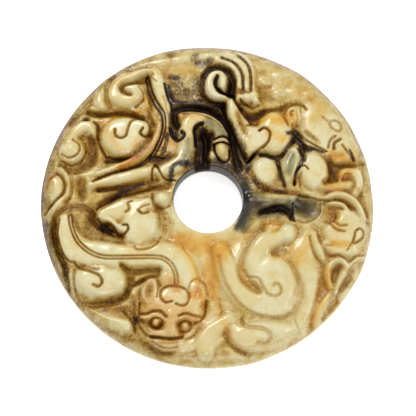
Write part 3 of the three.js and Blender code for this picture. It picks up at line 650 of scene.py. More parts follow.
def carve_top(face):
    """The arched limb over the hole, its paw, and the scroll and strands above it."""
    face.dirt = {"black": 1.0}
    face.hollow(0.3, (-6.8, 26, 2), (-3, 26, 2.2), umber=0)
    face.hollow(0.4, (-6.8, 23.2, 2), (-2.6, 23.2, 2.2), umber=0)
    face.hollow(1, (-6.3, 15.8, 0.7), (-6.9, 17.4, 0.8), (-6.8, 19.4, 0.9), (-4, 20.1, 0.9), (-1, 19.7, 1),
        (2, 18.2, 1), (4, 15.4, 0.7), (5, 12.2, 0.7), (5.8, 9, 1), (6.4, 6.8, 1.2))
    face.hollow(0.7, (2.6, 21, 0.6), (0.4, 21.4, 0.6), (-1, 22.8, 0.7), (-1.3, 25, 0.8), (-0.8, 27.4, 0.9),
        black=0.6)
    face.hollow(0.9, (-0.8, 27.6, 0.8), (0.6, 29, 0.9), (2.8, 29.2, 0.8), (4.8, 28, 0.8), (5.5, 25.8, 0.8),
        (5, 23.4, 1), black=0.9)
    face.hollow(1.25, (-0.9, 13.6, 1.1), (-1, 11, 1.6), (-1.2, 8, 1.9), (-1.4, 6.4, 1.6))
    face.ridge(0.3, (-19, 30, 1.8), (-10, 31.6, 2.6), (-2, 32.4, 2), (4, 33, 1.4))
    face.ridge(0.8, (-9.8, 5.7, 1.2), (-6.8, 7.2, 1.7), (-5, 9.8, 1.8), (-4.5, 13, 1.8), (-4.3, 15.4, 1.8),
        (-3.4, 16.9, 1.8), (-1, 17.2, 1.6), (1.4, 15.8, 1.6), (3, 13.8, 1.4), fullness=3.6)
    face.ridge(-0.35, (-1.3, 12.8, 0.5), (-1.3, 10.4, 0.5), (-1.5, 8.2, 0.6))
    face.dome(0.8, 2.8, 10.5, 1.35, 1.75, 6, fullness=3.2)
    face.dome(0.55, 0.8, 9.3, 0.95, 1.5, 12)
    face.ridge(0.65, (1.5, 12.4, 0.4), (2.8, 12.7, 0.5), (4.2, 12.4, 0.4))
    face.dome(0.3, -6.5, 14.1, 0.9, 0.9)
    face.ridge(0.9, (3.6, 22.1, 0.5), (1.7, 22.4, 1), (0.6, 23.6, 1.15), (0.4, 25.4, 1.15), (1.1, 27, 1.15),
        (2.6, 27.2, 1.1), (3.2, 26, 1.05), (3.1, 24.6, 0.9), fullness=4.2)
    face.ridge(0.55, (1.9, 30.8, 0.6), (4.8, 29.8, 0.9), (6.5, 27.3, 1), (6.8, 24.3, 0.8), fullness=4)
    face.ridge(0.5, (0.8, 32, 0.8), (4.6, 31.6, 1.1), (7.9, 28.8, 1.2), (8.4, 24.4, 0.9), fullness=4)
    face.ridge(0.4, (6.4, 32.6, 0.8), (9.2, 29.8, 1), (9.9, 26.6, 0.9), (9.8, 24.4, 0.7), fullness=4)
    face.dome(0.85, 6.5, 22.2, 0.9, 1.2)
    face.dome(0.95, 8.3, 22.2, 1.7, 1.3, fullness=3.2)
    face.dome(0.95, 9.8, 22.7, 1.2, 1.2)
    face.dome(0.85, 10.2, 21.3, 0.9, 1)
    face.cut(1.3, (2, 26.7), (1.5, 25.6), (1.9, 24.3), (3.2, 23.3), (5, 23), width=1.35)
    face.cut(1.2, (-1.2, 16.2), (-2.2, 15.9), (-2.9, 14.8), (-2.7, 13), (-2.6, 11.4), width=1.3)
    face.cut(1.1, (-8, 15.2), (-7.5, 13.6), (-6.4, 12.6), (-5.4, 12.9), (-5.1, 13.7), (-5.6, 14.3),
        width=1.35)
    face.cut(0.6, (-5.6, 18.7), (-3, 18.6), (-0.8, 17.8), (1.4, 16.8), (2.8, 15.4), width=0.7, umber=0.8)
    face.cut(1, (1.3, 12.9), (2.8, 13.2), (4.5, 13), width=0.8)
    face.cut(1, (1.4, 11.9), (2.8, 12.2), (4.4, 11.9), width=0.6)
    face.cut(1.1, (1.3, 11.8), (1.4, 10.2), (2.2, 8.7), (3.4, 7.9), (4.4, 8.8), (4.6, 10.6), width=0.85)
    face.cut(0.8, (3, 31.3), (5.6, 30.1), (7.3, 27.6), (7.5, 24.2), width=1.15, black=0.6)
    face.cut(0.8, (6.6, 31.9), (8.6, 29.6), (9.2, 26.8), (9.1, 24.3), width=1.1, black=0.55)
    face.cut(0.5, (9, 31.6), (10.3, 28.6), (10.4, 24.8), width=1.1, umber=0.6)
    face.stain("umber", 0.6, (6.6, 24, 0.7), (7.4, 23.7, 0.7))
    face.cut(0.9, (6.9, 21.7), (7.6, 21), (8.4, 20.7), width=0.8, umber=0.9)
    face.cut(1, (5.5, 23), (5.8, 21.2), (7.2, 19.8), umber=1)
    face.cut(0.6, (8.6, 20.4), (9.6, 20), (10.8, 20.6), width=0.8, umber=0.8)
    face.stain("black", 0.95, (-8.6, 25, 0.7), (-8, 23, 1.3), (-7.4, 21.4, 1.6), (-4, 21, 1.2),
        (-1.6, 21.6, 1.4))
    face.stain("black", 0.75, (-8, 27, 1), (-6.6, 26.8, 1.1))
    face.stain("black", 0.42, (-6.6, 25.6, 2.6), (-5.4, 23.6, 3), (-2.6, 23.6, 2.4), (-2.4, 26, 2))
    face.stain("black", 0.5, (-2.4, 32.2, 1), (-3, 31, 1.2), (-1.6, 30, 1.5), (0.4, 30.6, 1.3))
    face.stain("umber", 0.8, (-8, 31.9, 1), (-7.8, 31, 0.9))
    face.stain("umber", 0.5, (-12.7, 31, 0.7), (-12.3, 30.8, 0.6))
    face.stain("black", 1, (-7, 19.6, 1.3), (-4, 20.2, 1.6), (0, 20.2, 1.7), (3, 20, 1.6))
    face.stain("black", 1, (2.6, 18.4, 1.4), (4.6, 15, 1.3), (5.6, 11, 1.7), (6.2, 7.4, 2.8))
    face.stain("black", 1, (-1.1, 14.6, 1.7), (-1.1, 11, 2.3), (-1.6, 7, 3.2))
    face.stain("black", 0.85, (-7.6, 18, 1.4), (-7.2, 15.4, 1.5), (-6.8, 13.4, 1.2))
    face.stain("black", 1, (5, 26.4, 1.2), (4.8, 23.8, 1.5), (5.4, 22.6, 1))
    face.stain("black", 0.9, (-8, 4, 0.9), (-7, 7, 0.8), (-4, 7.4, 1.2), (2, 8, 1.4), (7.4, 4, 1.6),
        (7.8, 0, 1.6))
    face.stain("slate", 0.6, (0, 16.8, 1.6), (2.4, 14.8, 1.8), (3.6, 13.2, 1))
    face.clean(0.9, 2.9, 10.3, 1.5, 1.8)
    face.clean(0.7, 0.9, 9, 0.9, 1.3)
    face.stain("black", 1, (0.4, 13.8, 1.5), (0, 11.6, 1.5), (-0.8, 8.6, 1.4))
    face.clean(0.8, -7.4, 11.7, 1.8, 1.6)
    face.stain("peach", 1, (-8.4, 12.6, 1.2), (-7, 11.6, 1.5))
    face.stain("slate", 0.4, (-4.2, 12, 1.8), (-4.6, 8.6, 2))
    face.stain("peach", 0.7, (-5, 17.4, 1.4), (-2.4, 17.8, 1.3), (0.4, 17.2, 0.8))
    face.stain("honey", 1, (-9, 28.4, 2), (-3, 28.6, 1.6))


def carve_upper_right(face):
    """The limb, swelling lobes, ear scroll and long head at the upper right."""
    face.dirt = {"black": 0.95}
    face.hollow(0.8, (3.2, 21, 0.5), (3.8, 17.6, 0.5), (5.4, 13, 0.5), (8.2, 8.2, 0.6))
    face.hollow(0.7, (6.8, 19.6, 0.6), (8.6, 18, 0.9), (10.6, 18.4, 0.8), (13, 19.6, 0.5),
        (16.2, 19.9, 0.4), umber=0.7)
    face.hollow(0.9, (8.4, 8.3, 0.5), (10.4, 9.8, 0.5), (14.8, 9.1, 0.5), (17, 11.4, 0.5),
        (18.8, 13.4, 0.9), (20.6, 11.5, 0.5), (24.4, 9.9, 0.3))
    face.hollow(0.8, (14.6, 9.2, 0.5), (15, 6, 0.5), (16, 2.8, 0.4))
    face.hollow(0.9, (19.8, 11, 0.7), (20, 8.6, 0.6), (19.2, 7, 0.5), (18.3, 5.4, 0.35), (18.1, 3.2, 0.3))
    face.hollow(0.5, (25.4, 9, 0.6), (26, 6.6, 1.2), (27, 4.6, 1), (24.2, 3.6, 0.7), umber=0.5)
    face.hollow(0.5, (26.4, 7.2, 0.5), (29, 7, 0.5), (33, 8, 0.5), umber=0.55)
    face.hollow(0.5, (8.6, 6.6, 0.6), (10.4, 3.4, 0.6), (14, 1.9, 0.7), (18, 1.3, 0.8), (21, 0.5, 0.4),
        umber=0.7)
    face.ridge(0.35, (11.6, 28.4, 3), (16, 26, 4.4), (22, 22.6, 5), (27, 18.6, 5.4), fullness=4)
    for x, y, size in ((12, 25.8, 1.7), (14.8, 27.2, 1.9), (18, 23.6, 2.4), (21.6, 23.2, 2.2),
        (14.6, 23.4, 1.6)):
        face.dome(0.52, x, y, size, size * 0.85, 35, fullness=2.2)
    face.dome(0.8, 25.6, 15.6, 6.6, 8.4, 20, fullness=4)
    face.ridge(0.8, (27.8, 12.8, 2.4), (30.6, 10.8, 2.3), fullness=3.2)
    face.ridge(0.5, (25.6, 9.4, 0.9), (27.2, 8.7, 1.2), (29.4, 8.8, 0.7))
    face.ridge(0.75, (4.9, 21.2, 0.9), (5.6, 18.4, 1.5), (7, 16, 1.9), (8, 13.6, 2.3), (8.6, 11.2, 1.8),
        fullness=3.2)
    face.dome(0.95, 9.7, 12.7, 3.6, 3.3, 60, fullness=3.6)
    face.dome(1, 14.1, 14.3, 4.2, 5, fullness=4)
    face.dome(0.9, 11.9, 5.9, 3.1, 3.5, 12, fullness=3.6)
    face.dome(0.85, 17.4, 7.3, 2.2, 4.8, -16, fullness=3.6)
    face.dome(1, 22.1, 6, 3.5, 4.5, 4, fullness=4)
    face.dome(0.85, 18, 18.2, 2.1, 2.5, fullness=3.2)
    face.ridge(0.55, (27.7, 5, 0.9), (29.2, 5.8, 1.1), (31.2, 5.2, 1.2), (31.8, 3, 1.2), (30.8, 1.2, 0.8))
    face.ridge(0.45, (23.8, 2.6, 0.9), (27, 2.6, 1.2), (29.6, 3.2, 1))
    face.cut(1, (10.8, 14.6), (11.8, 15.2), (13, 14.1), (12.6, 12.1), (11, 10.7), (9.8, 9.7), (8.6, 8.4),
        umber=1)
    face.cut(0.9, (20.9, 19.6), (20.2, 20.5), (18.4, 20.7), (16.8, 19.7), (16.2, 17.9), (17, 15.8),
        width=0.9, umber=0.8)
    face.cut(0.9, (18.1, 19.1), (17.4, 18.6), (17.7, 18), umber=0.8)
    face.cut(0.6, (18.7, 19.2), (19.1, 17.8), (18.7, 16.3), width=0.9, ochre=0.8)
    face.cut(0.9, (3.4, 20.7), (3.7, 18.4), (4.7, 15.6), (6.2, 12), (7.9, 8.7), width=0.8)
    face.cut(0.9, (18.6, 15.2), (20.2, 13.2), (22.4, 11.6), (25, 10.1), width=0.7, umber=1)
    face.cut(0.9, (20.9, 6.1), (20, 6.9), (18.9, 6.4), (18.3, 5), (18.1, 3), width=0.7, umber=1)
    face.cut(0.6, (19.4, 5.4), (19.2, 3.6), (19.4, 1.6), width=0.7, umber=0.5)
    face.cut(0.9, (25.8, 16.4), (26, 15.5), (26.8, 14.8), (27.9, 14.6), (28.3, 15.6), (27.7, 16.6),
        (26.6, 16.9), width=0.9, umber=0.6, closed=True)
    face.cut(0.7, (24.3, 17.7), (25, 17), (25.9, 16.4), width=0.9, umber=0.5)
    face.cut(0.9, (26.9, 13.5), (25.8, 12.6), (25.3, 11), width=0.9, umber=0.8)
    face.cut(1, (27.9, 12.8), (26.7, 12), (26.5, 10.7), width=1.2, umber=0.9)
    face.cut(0.8, (28.3, 11.5), (29.2, 10.2), (30.7, 8.4), width=0.9, umber=0.9)
    face.cut(0.7, (29.8, 10.4), (30.3, 9.3), (30.8, 8.4), width=0.8)
    face.cut(0.7, (6.7, 16), (7.8, 15.7), (9, 16.2), (8.6, 17.4), width=0.9, umber=0.7)
    face.cut(0.6, (32.6, 7), (32.8, 4), (32, 1), width=1.2, umber=0.6)
    face.cut(0.6, (28.2, 4.3), (28.8, 5.2), (29.8, 5.2), width=0.9, umber=0.7)
    face.stain("umber", 1, (20.8, 14.5, 0.8), (22, 13.2, 0.9), (23.2, 12.1, 0.7))
    face.stain("black", 1, (18.2, 14.8, 0.9), (18.9, 13.8, 1.5), (19.6, 12.4, 1.3), (20.6, 11, 1),
        (22.4, 10.8, 0.6))
    face.stain("black", 1, (16.7, 14, 0.7), (18, 14.4, 0.9))
    face.stain("black", 0.9, (18.9, 10.6, 0.5), (19.9, 9.4, 0.9), (20.2, 8, 0.8))
    face.stain("umber", 0.6, (25.8, 6.2, 1.6), (26.8, 4.6, 1.4))
    face.stain("umber", 0.9, (24, 3.4, 0.8), (24.4, 3.2, 0.8))
    face.stain("ochre", 1, (26, 9.4, 1.4), (28.4, 8.9, 1.3))
    face.stain("ochre", 0.8, (27.8, 5, 1.3), (29.6, 5, 1.4))
    face.stain("ochre", 0.5, (24.4, 2.4, 1.6), (28, 2.6, 1.8), (31, 9.4, 1.6))
    face.stain("ochre", 0.9, (11, 17.4, 1.8), (14.5, 17, 2.6), (17.6, 18, 2.2), (18, 16.2, 1.2))
    face.stain("ochre", 0.5, (13, 14, 2.4), (16, 12.6, 1.8))
    face.stain("umber", 0.9, (8.4, 18, 1.6), (10, 18, 1.4), (12, 19.4, 1))
    face.stain("umber", 0.7, (15, 20, 1), (18.5, 21, 1.3), (20, 20.6, 1))
    face.stain("umber", 0.5, (10.8, 24.7, 1), (13.4, 24.6, 0.9))
    face.stain("umber", 0.4, (10.8, 28.2, 1.4), (12, 28, 1.2))
    face.stain("black", 0.75, (5.4, 14, 0.9), (7.2, 10, 1.1), (8.2, 7.6, 1.6), (7.6, 5.8, 1.5))
    face.stain("black", 0.5, (4.6, 17, 0.7), (6, 13.4, 1.1), (7.6, 10.6, 1))
    face.stain("umber", 0.6, (6.2, 18.4, 1), (7, 15.8, 1.3), (8.2, 13.4, 1.1))
    face.stain("black", 0.5, (9.4, 4, 1.2), (12, 1.8, 1), (16, 1.4, 1))
    face.stain("slate", 0.6, (17.4, 9, 1.8), (16.8, 5.6, 1.8))
    face.stain("honey", 1, (20, 24, 3), (24, 20, 3), (22, 17, 2.4))


def carve_right(face):
    """The leaf hollow, brow strands, second head and its looped ears at the right."""
    face.dirt = {"umber": 0.7}
    face.hollow(0.35, (24.4, -1.2, 0.8), (25.2, -3.4, 1.4), (23.4, -6, 1), (21.4, -6.8, 0.8),
        (18.8, -8.2, 0.7), umber=0.3)
    face.hollow(0.45, (31.4, 2, 0.7), (32.2, -0.6, 0.8), (33.2, -3.6, 0.6), umber=0.5)
    face.hollow(0.2, (23.4, -14.6, 0.7), (23.2, -16.6, 1), (22.8, -19, 1.2), (21.7, -22.4, 1.1),
        (20.8, -25.6, 1), (20.4, -28, 0.9), umber=0.2)
    face.ridge(0.3, (8.4, 0.4, 1), (13, 0.2, 1), (18.4, 0.4, 0.8))
    face.dome(0.85, 28.4, -7, 5.2, 5.4, 20, fullness=3.6)
    face.ridge(0.6, (24, -10, 1.2), (26.6, -10.8, 1.5), (30, -11.2, 1.4))
    face.hollow(0.4, (25.4, -2, 0.7), (26, -3.6, 1.3), (24.6, -5, 0.9), umber=0.3)
    face.ridge(0.85, (24.3, -0.1, 0.4), (26, 0.6, 0.75), (28, 0.7, 0.85), (30, -0.4, 0.85), (31.4, -2, 0.8),
        (32.4, -4.2, 0.6))
    face.ridge(0.75, (24.9, -1.2, 0.35), (26.6, -1.1, 0.6), (28.2, -1.6, 0.7), (29, -2.8, 0.5))
    face.ridge(0.5, (20.6, -7.6, 1.7), (19.4, -12, 3.2), (20.2, -17, 2.8), (19.6, -22, 2.4), (18, -27.4, 2),
        fullness=2.6)
    face.ridge(0.6, (21.8, -7.2, 0.6), (22.2, -9.6, 0.9), (23.6, -13, 0.8))
    face.ridge(0.35, (32.6, -14, 0.8), (30.6, -18, 0.9), (27.4, -21.2, 1), (22.4, -26.6, 0.9))
    face.hollow(0.6, (29.6, -15.2, 0.8), (28.2, -17.2, 1.2), (26.9, -19, 0.8), umber=0.45)
    face.hollow(0.3, (26.4, -21.6, 0.6), (24.8, -23.6, 0.8), (23.2, -25.4, 0.6), umber=0.3)
    face.ridge(0.8, (24.5, -16.8, 0.6), (24.5, -15, 0.7), (25.4, -13.6, 0.75), (26.9, -13.1, 0.75),
        (28, -14, 0.75), (27.7, -15.7, 0.7), (26.7, -17.6, 0.6), (25.7, -19.5, 0.6), (24.9, -18.6, 0.5),
        closed=True)
    face.ridge(0.45, (25.8, -19.2, 0.7), (24.6, -20.8, 0.9), (22.9, -22.8, 0.9), (21.6, -26, 0.7))
    face.hollow(0.6, (25.5, -17.2, 0.6), (26.1, -15.9, 0.9), (26.9, -14.7, 0.7), umber=0.45)
    face.ridge(0.55, (29.4, -14.2, 0.4), (30.8, -12.8, 0.6), (32.6, -12.4, 0.5))
    face.dish(0.75, 20.7, -2.1, 3.1, 2.6, -12, slate=1)
    face.ridge(0.25, (18.1, -4.8, 0.3), (19.6, -5.6, 0.4), (21.4, -5.2, 0.4), (23.2, -3.7, 0.4),
        (23.9, -1.6, 0.3))
    face.hollow(0.75, (10.8, -2.9, 0.4), (12.8, -2.4, 0.7), (15, -1.9, 0.9), (16.6, -2.6, 0.9),
        (17.3, -4.2, 0.6), black=0.8)
    face.dome(-0.15, 14.6, -3.2, 1.6, 0.9)
    face.ridge(0.2, (12, -1.4, 0.3), (14.2, -0.8, 0.4), (16.4, -1, 0.4), (17.2, -1.8, 0.3))
    face.ridge(0.15, (17.3, -1.3, 0.35), (18, -2.4, 0.35), (18, -3.8, 0.35), (18.6, -4.9, 0.3))
    face.cut(0.8, (17.7, -1), (17.5, -2.2), (17.4, -3.4), (17.9, -4.8), width=0.8, black=1)
    face.cut(0.7, (18.4, -4.7), (19.8, -5.1), (21.5, -4.6), (23, -3.2), (23.5, -1.2))
    face.cut(0.8, (19, 0.9), (21, 0.4), (23.2, -0.2), (25, -0.5), width=0.8, umber=0.9)
    face.cut(0.9, (25, -0.5), (26.6, -0.3), (28.2, -0.7), (29.7, -2.3), width=1.15)
    face.cut(0.6, (25.2, -1.7), (26.8, -1.9), (28, -2.4), width=0.8)
    face.cut(0.9, (25.2, -5.2), (25.8, -6.3), (26.8, -7), (28, -7.2))
    face.cut(0.9, (26, -4.8), (26.7, -5.7), (27.5, -6), (28.5, -5.9), width=0.9)
    face.cut(1, (30.1, -8.2), (30.4, -7.2), (31.3, -6.6), (32.1, -7.2), (31.9, -8.3), (31, -9.2),
        (29.8, -9.7), width=0.85, closed=True, umber=0.8)
    face.cut(0.8, (29.6, -9.4), (28.9, -10.6), (28.6, -11.1), width=0.7)
    face.cut(0.8, (20.9, -8.2), (21.2, -10), (22, -12.2), (23.2, -13.8), width=0.9)
    face.cut(0.8, (22.7, -7.6), (23.2, -9.6), (24.4, -11.9), width=0.9)
    face.cut(0.9, (24.2, -12), (25.6, -12.2), (27, -12.2), (28.9, -13.3), (30.4, -12.2), (32.6, -11.7),
        width=0.9)
    face.cut(0.7, (24.6, -13.6), (25.6, -12.8), (27.2, -12.6), (28.4, -13.2), width=0.6)
    face.cut(0.7, (29.2, -14.8), (30, -13.7), (31.2, -13.2), (32.4, -13.3), width=0.7)
    face.stain("slate", 1, (7.2, 1.6, 3), (9, -1, 4.4), (12, -2, 3.6), (16, -1.8, 3), (21, -2, 3.8))
    face.stain("slate", 0.9, (7.8, -3, 3), (7.2, -6, 2.2))
    face.stain("black", 0.8, (7.4, 2.6, 2), (7.6, -1, 2.4), (7.2, -4, 1.6), (5.6, -6.6, 0.6))
    face.stain("black", 0.7, (11, -2.8, 1.2), (14, -2.4, 1.6), (17, -2.8, 1.8))
    face.stain("black", 0.5, (19, 0.6, 0.9), (18.6, -1.6, 1.2))
    face.stain("ochre", 0.8, (25.4, -9.6, 1), (27.2, -9.8, 1.3), (29, -9.8, 0.9))
    face.stain("ochre", 0.6, (24.2, -15.4, 1.2), (24, -19, 2), (22.6, -22, 1.8), (21, -26, 1.4))
    face.stain("umber", 0.34, (23.1, -16, 0.8), (22.9, -18.6, 1.4), (22, -20.6, 1.2), (21.2, -23.4, 0.9))
    face.stain("umber", 0.55, (29, -15.6, 1.1), (27.6, -18, 1.2), (26.6, -19.2, 0.7))
    face.stain("ochre", 0.42, (20, -8, 2), (19.4, -11.6, 2.6), (18, -13.6, 2), (21.2, -9.6, 1.4))
    face.stain("ochre", 0.35, (26, -3.4, 1.8), (26.6, -6.4, 1.6))
    face.stain("umber", 0.6, (29, -16, 1), (26.6, -15, 0.9), (24.6, -23.8, 1.2))
    for x in (24.2, 25.1):
        face.stain("umber", 1, (x, -10.1, 0.5), (x + 0.2, -10.15, 0.45))


def carve_bottom_right(face):
    """The spiral haunch, the knob, the lower haunch and the arm at the bottom right."""
    face.dirt = {"umber": 0.5}
    face.hollow(0.2, (-8.6, -7.8, 1.2), (-3, -9.6, 1.8), (2.6, -10.4, 2), (8, -8, 1.2), ochre=0.3)
    face.hollow(0.15, (-0.8, -12, 1.6), (0, -16, 1.5), (1.2, -20, 1.1), (2.6, -23.6, 0.9), ochre=0.3)
    face.hollow(0.4, (3.6, -27.6, 0.7), (4.6, -30.4, 0.9), (8, -32.6, 0.8))
    face.dome(0.4, 11, -20, 11.4, 12.4, 20, fullness=3)
    face.ridge(0.75, (2.4, -11, 1.6), (3.9, -15.6, 2.3), (6, -19.8, 2.7), (9.8, -22.6, 2.6),
        (14, -22.8, 2.6), fullness=4.2)
    face.dome(0.95, 13, -17.8, 5.6, 7.1, 6, fullness=4)
    face.ridge(0.75, (14.4, -8.4, 1.6), (11.6, -9.6, 2.4), (9.8, -12.6, 2.7), (10.4, -15.4, 2.6),
        fullness=3.2)
    face.dome(0.95, 16.3, -7.5, 2.2, 2.3, fullness=3.2)
    face.dome(0.55, 13.2, -6.2, 2, 1.3, 20)
    face.dome(0.85, 10.8, -28.4, 8, 3.5, 6, fullness=3.6)
    face.ridge(0.6, (4.2, -25.2, 1.4), (1.4, -27.2, 2), (-0.8, -30, 2.2), (-0.6, -32, 1.8), fullness=3.2)
    face.dome(0.5, 5.2, -27.4, 2.2, 2)
    face.ridge(0.45, (0.4, -31.4, 0.6), (2.8, -29.2, 0.6))
    face.hollow(0.3, (11.4, -5.8, 0.7), (9.2, -8, 0.8), (7.6, -11, 0.8), (6.6, -14.2, 0.9), (7, -16.8, 1),
        (8.6, -18.4, 1.2), (10.2, -19.6, 0.9), umber=0.4)
    face.dish(0.55, 14.5, -11.5, 2, 1.2, 8, umber=0.45)
    face.cut(0.9, (7.4, -15.4), (8, -16.7), (9.4, -17), (10.4, -17.6), (11.1, -19.2), (12, -20.4),
        (13.4, -20.8), (14.6, -20.2), (14.6, -19), (13.8, -18.2), (13.2, -18.6), width=1.1)
    face.ridge(0.85, (11.8, -19.2, 0.5), (12.8, -19.8, 0.6), (13.6, -19.4, 0.5))
    face.cut(0.85, (6.7, -25.4), (7, -26.5), (8.4, -27.1), (10.4, -27.3), (12, -28.2), (12.3, -29.4),
        (11.3, -30.3), (10, -30.2), width=1.6)
    face.cut(0.85, (2, -12.6), (2.6, -16.2), (3.8, -19.2), (5.8, -22), (8.4, -24.1), (11.6, -25),
        (14.8, -25.1), (17, -24.1), width=1.5)
    face.cut(0.65, (17, -24.1), (18.3, -21.8), (18.7, -19), (18, -16.2), (16.8, -14), (15.6, -13),
        width=1.9)
    face.cut(0.7, (3.5, -29.3), (4.8, -31), (7.4, -32.4), width=1.1, umber=0.8)
    face.cut(0.5, (17.3, -25.3), (17.8, -26.8), (18.4, -28.2), width=0.8)
    face.cut(0.5, (13.1, -12.4), (13.6, -10.9), (15, -10.1), (16.6, -10.1), width=0.8)
    face.stain("umber", 0.34, (2.2, -13, 1.5), (3.2, -18.4, 1.7), (5.6, -22.4, 1.7), (8.6, -24.6, 1.6),
        (12, -25.6, 1.5), (16, -25.2, 1.5), (18.4, -22.6, 1.5), (18.9, -18.6, 1.5), (17.4, -14.8, 1.3))
    for x, y in ((15.2, -10.8), (15.9, -10.8), (15.9, -11.4)):
        face.stain("umber", 1, (x, y, 0.4), (x + 0.1, y, 0.4))
    face.stain("ochre", 1, (-6, -9, 2.8), (-2, -10, 3.8), (2.8, -11, 3.2), (0.6, -14, 2.8), (0.8, -20, 2.2))
    face.stain("ochre", 0.5, (2, -24.4, 1.6), (4, -27.6, 1.4))
    face.stain("umber", 0.6, (9, -18.2, 1), (10.2, -19.4, 0.9))
    face.stain("ochre", 0.3, (7, -14, 1.3), (6.8, -17, 1.4), (9, -19.6, 1.2))
    face.stain("ochre", 0.7, (12, -5.6, 1.4), (14.4, -5.8, 1.2), (13.4, -7.4, 1))
    face.stain("umber", 0.35, (11.8, -5.4, 0.9), (14.4, -5.8, 0.7))
    face.stain("ochre", 0.45, (13.6, -12.6, 1.2), (16.2, -12.2, 1.4), (18, -10, 1.2))
    face.stain("umber", 0.6, (4, -30.2, 1.1), (6.4, -32, 0.9))


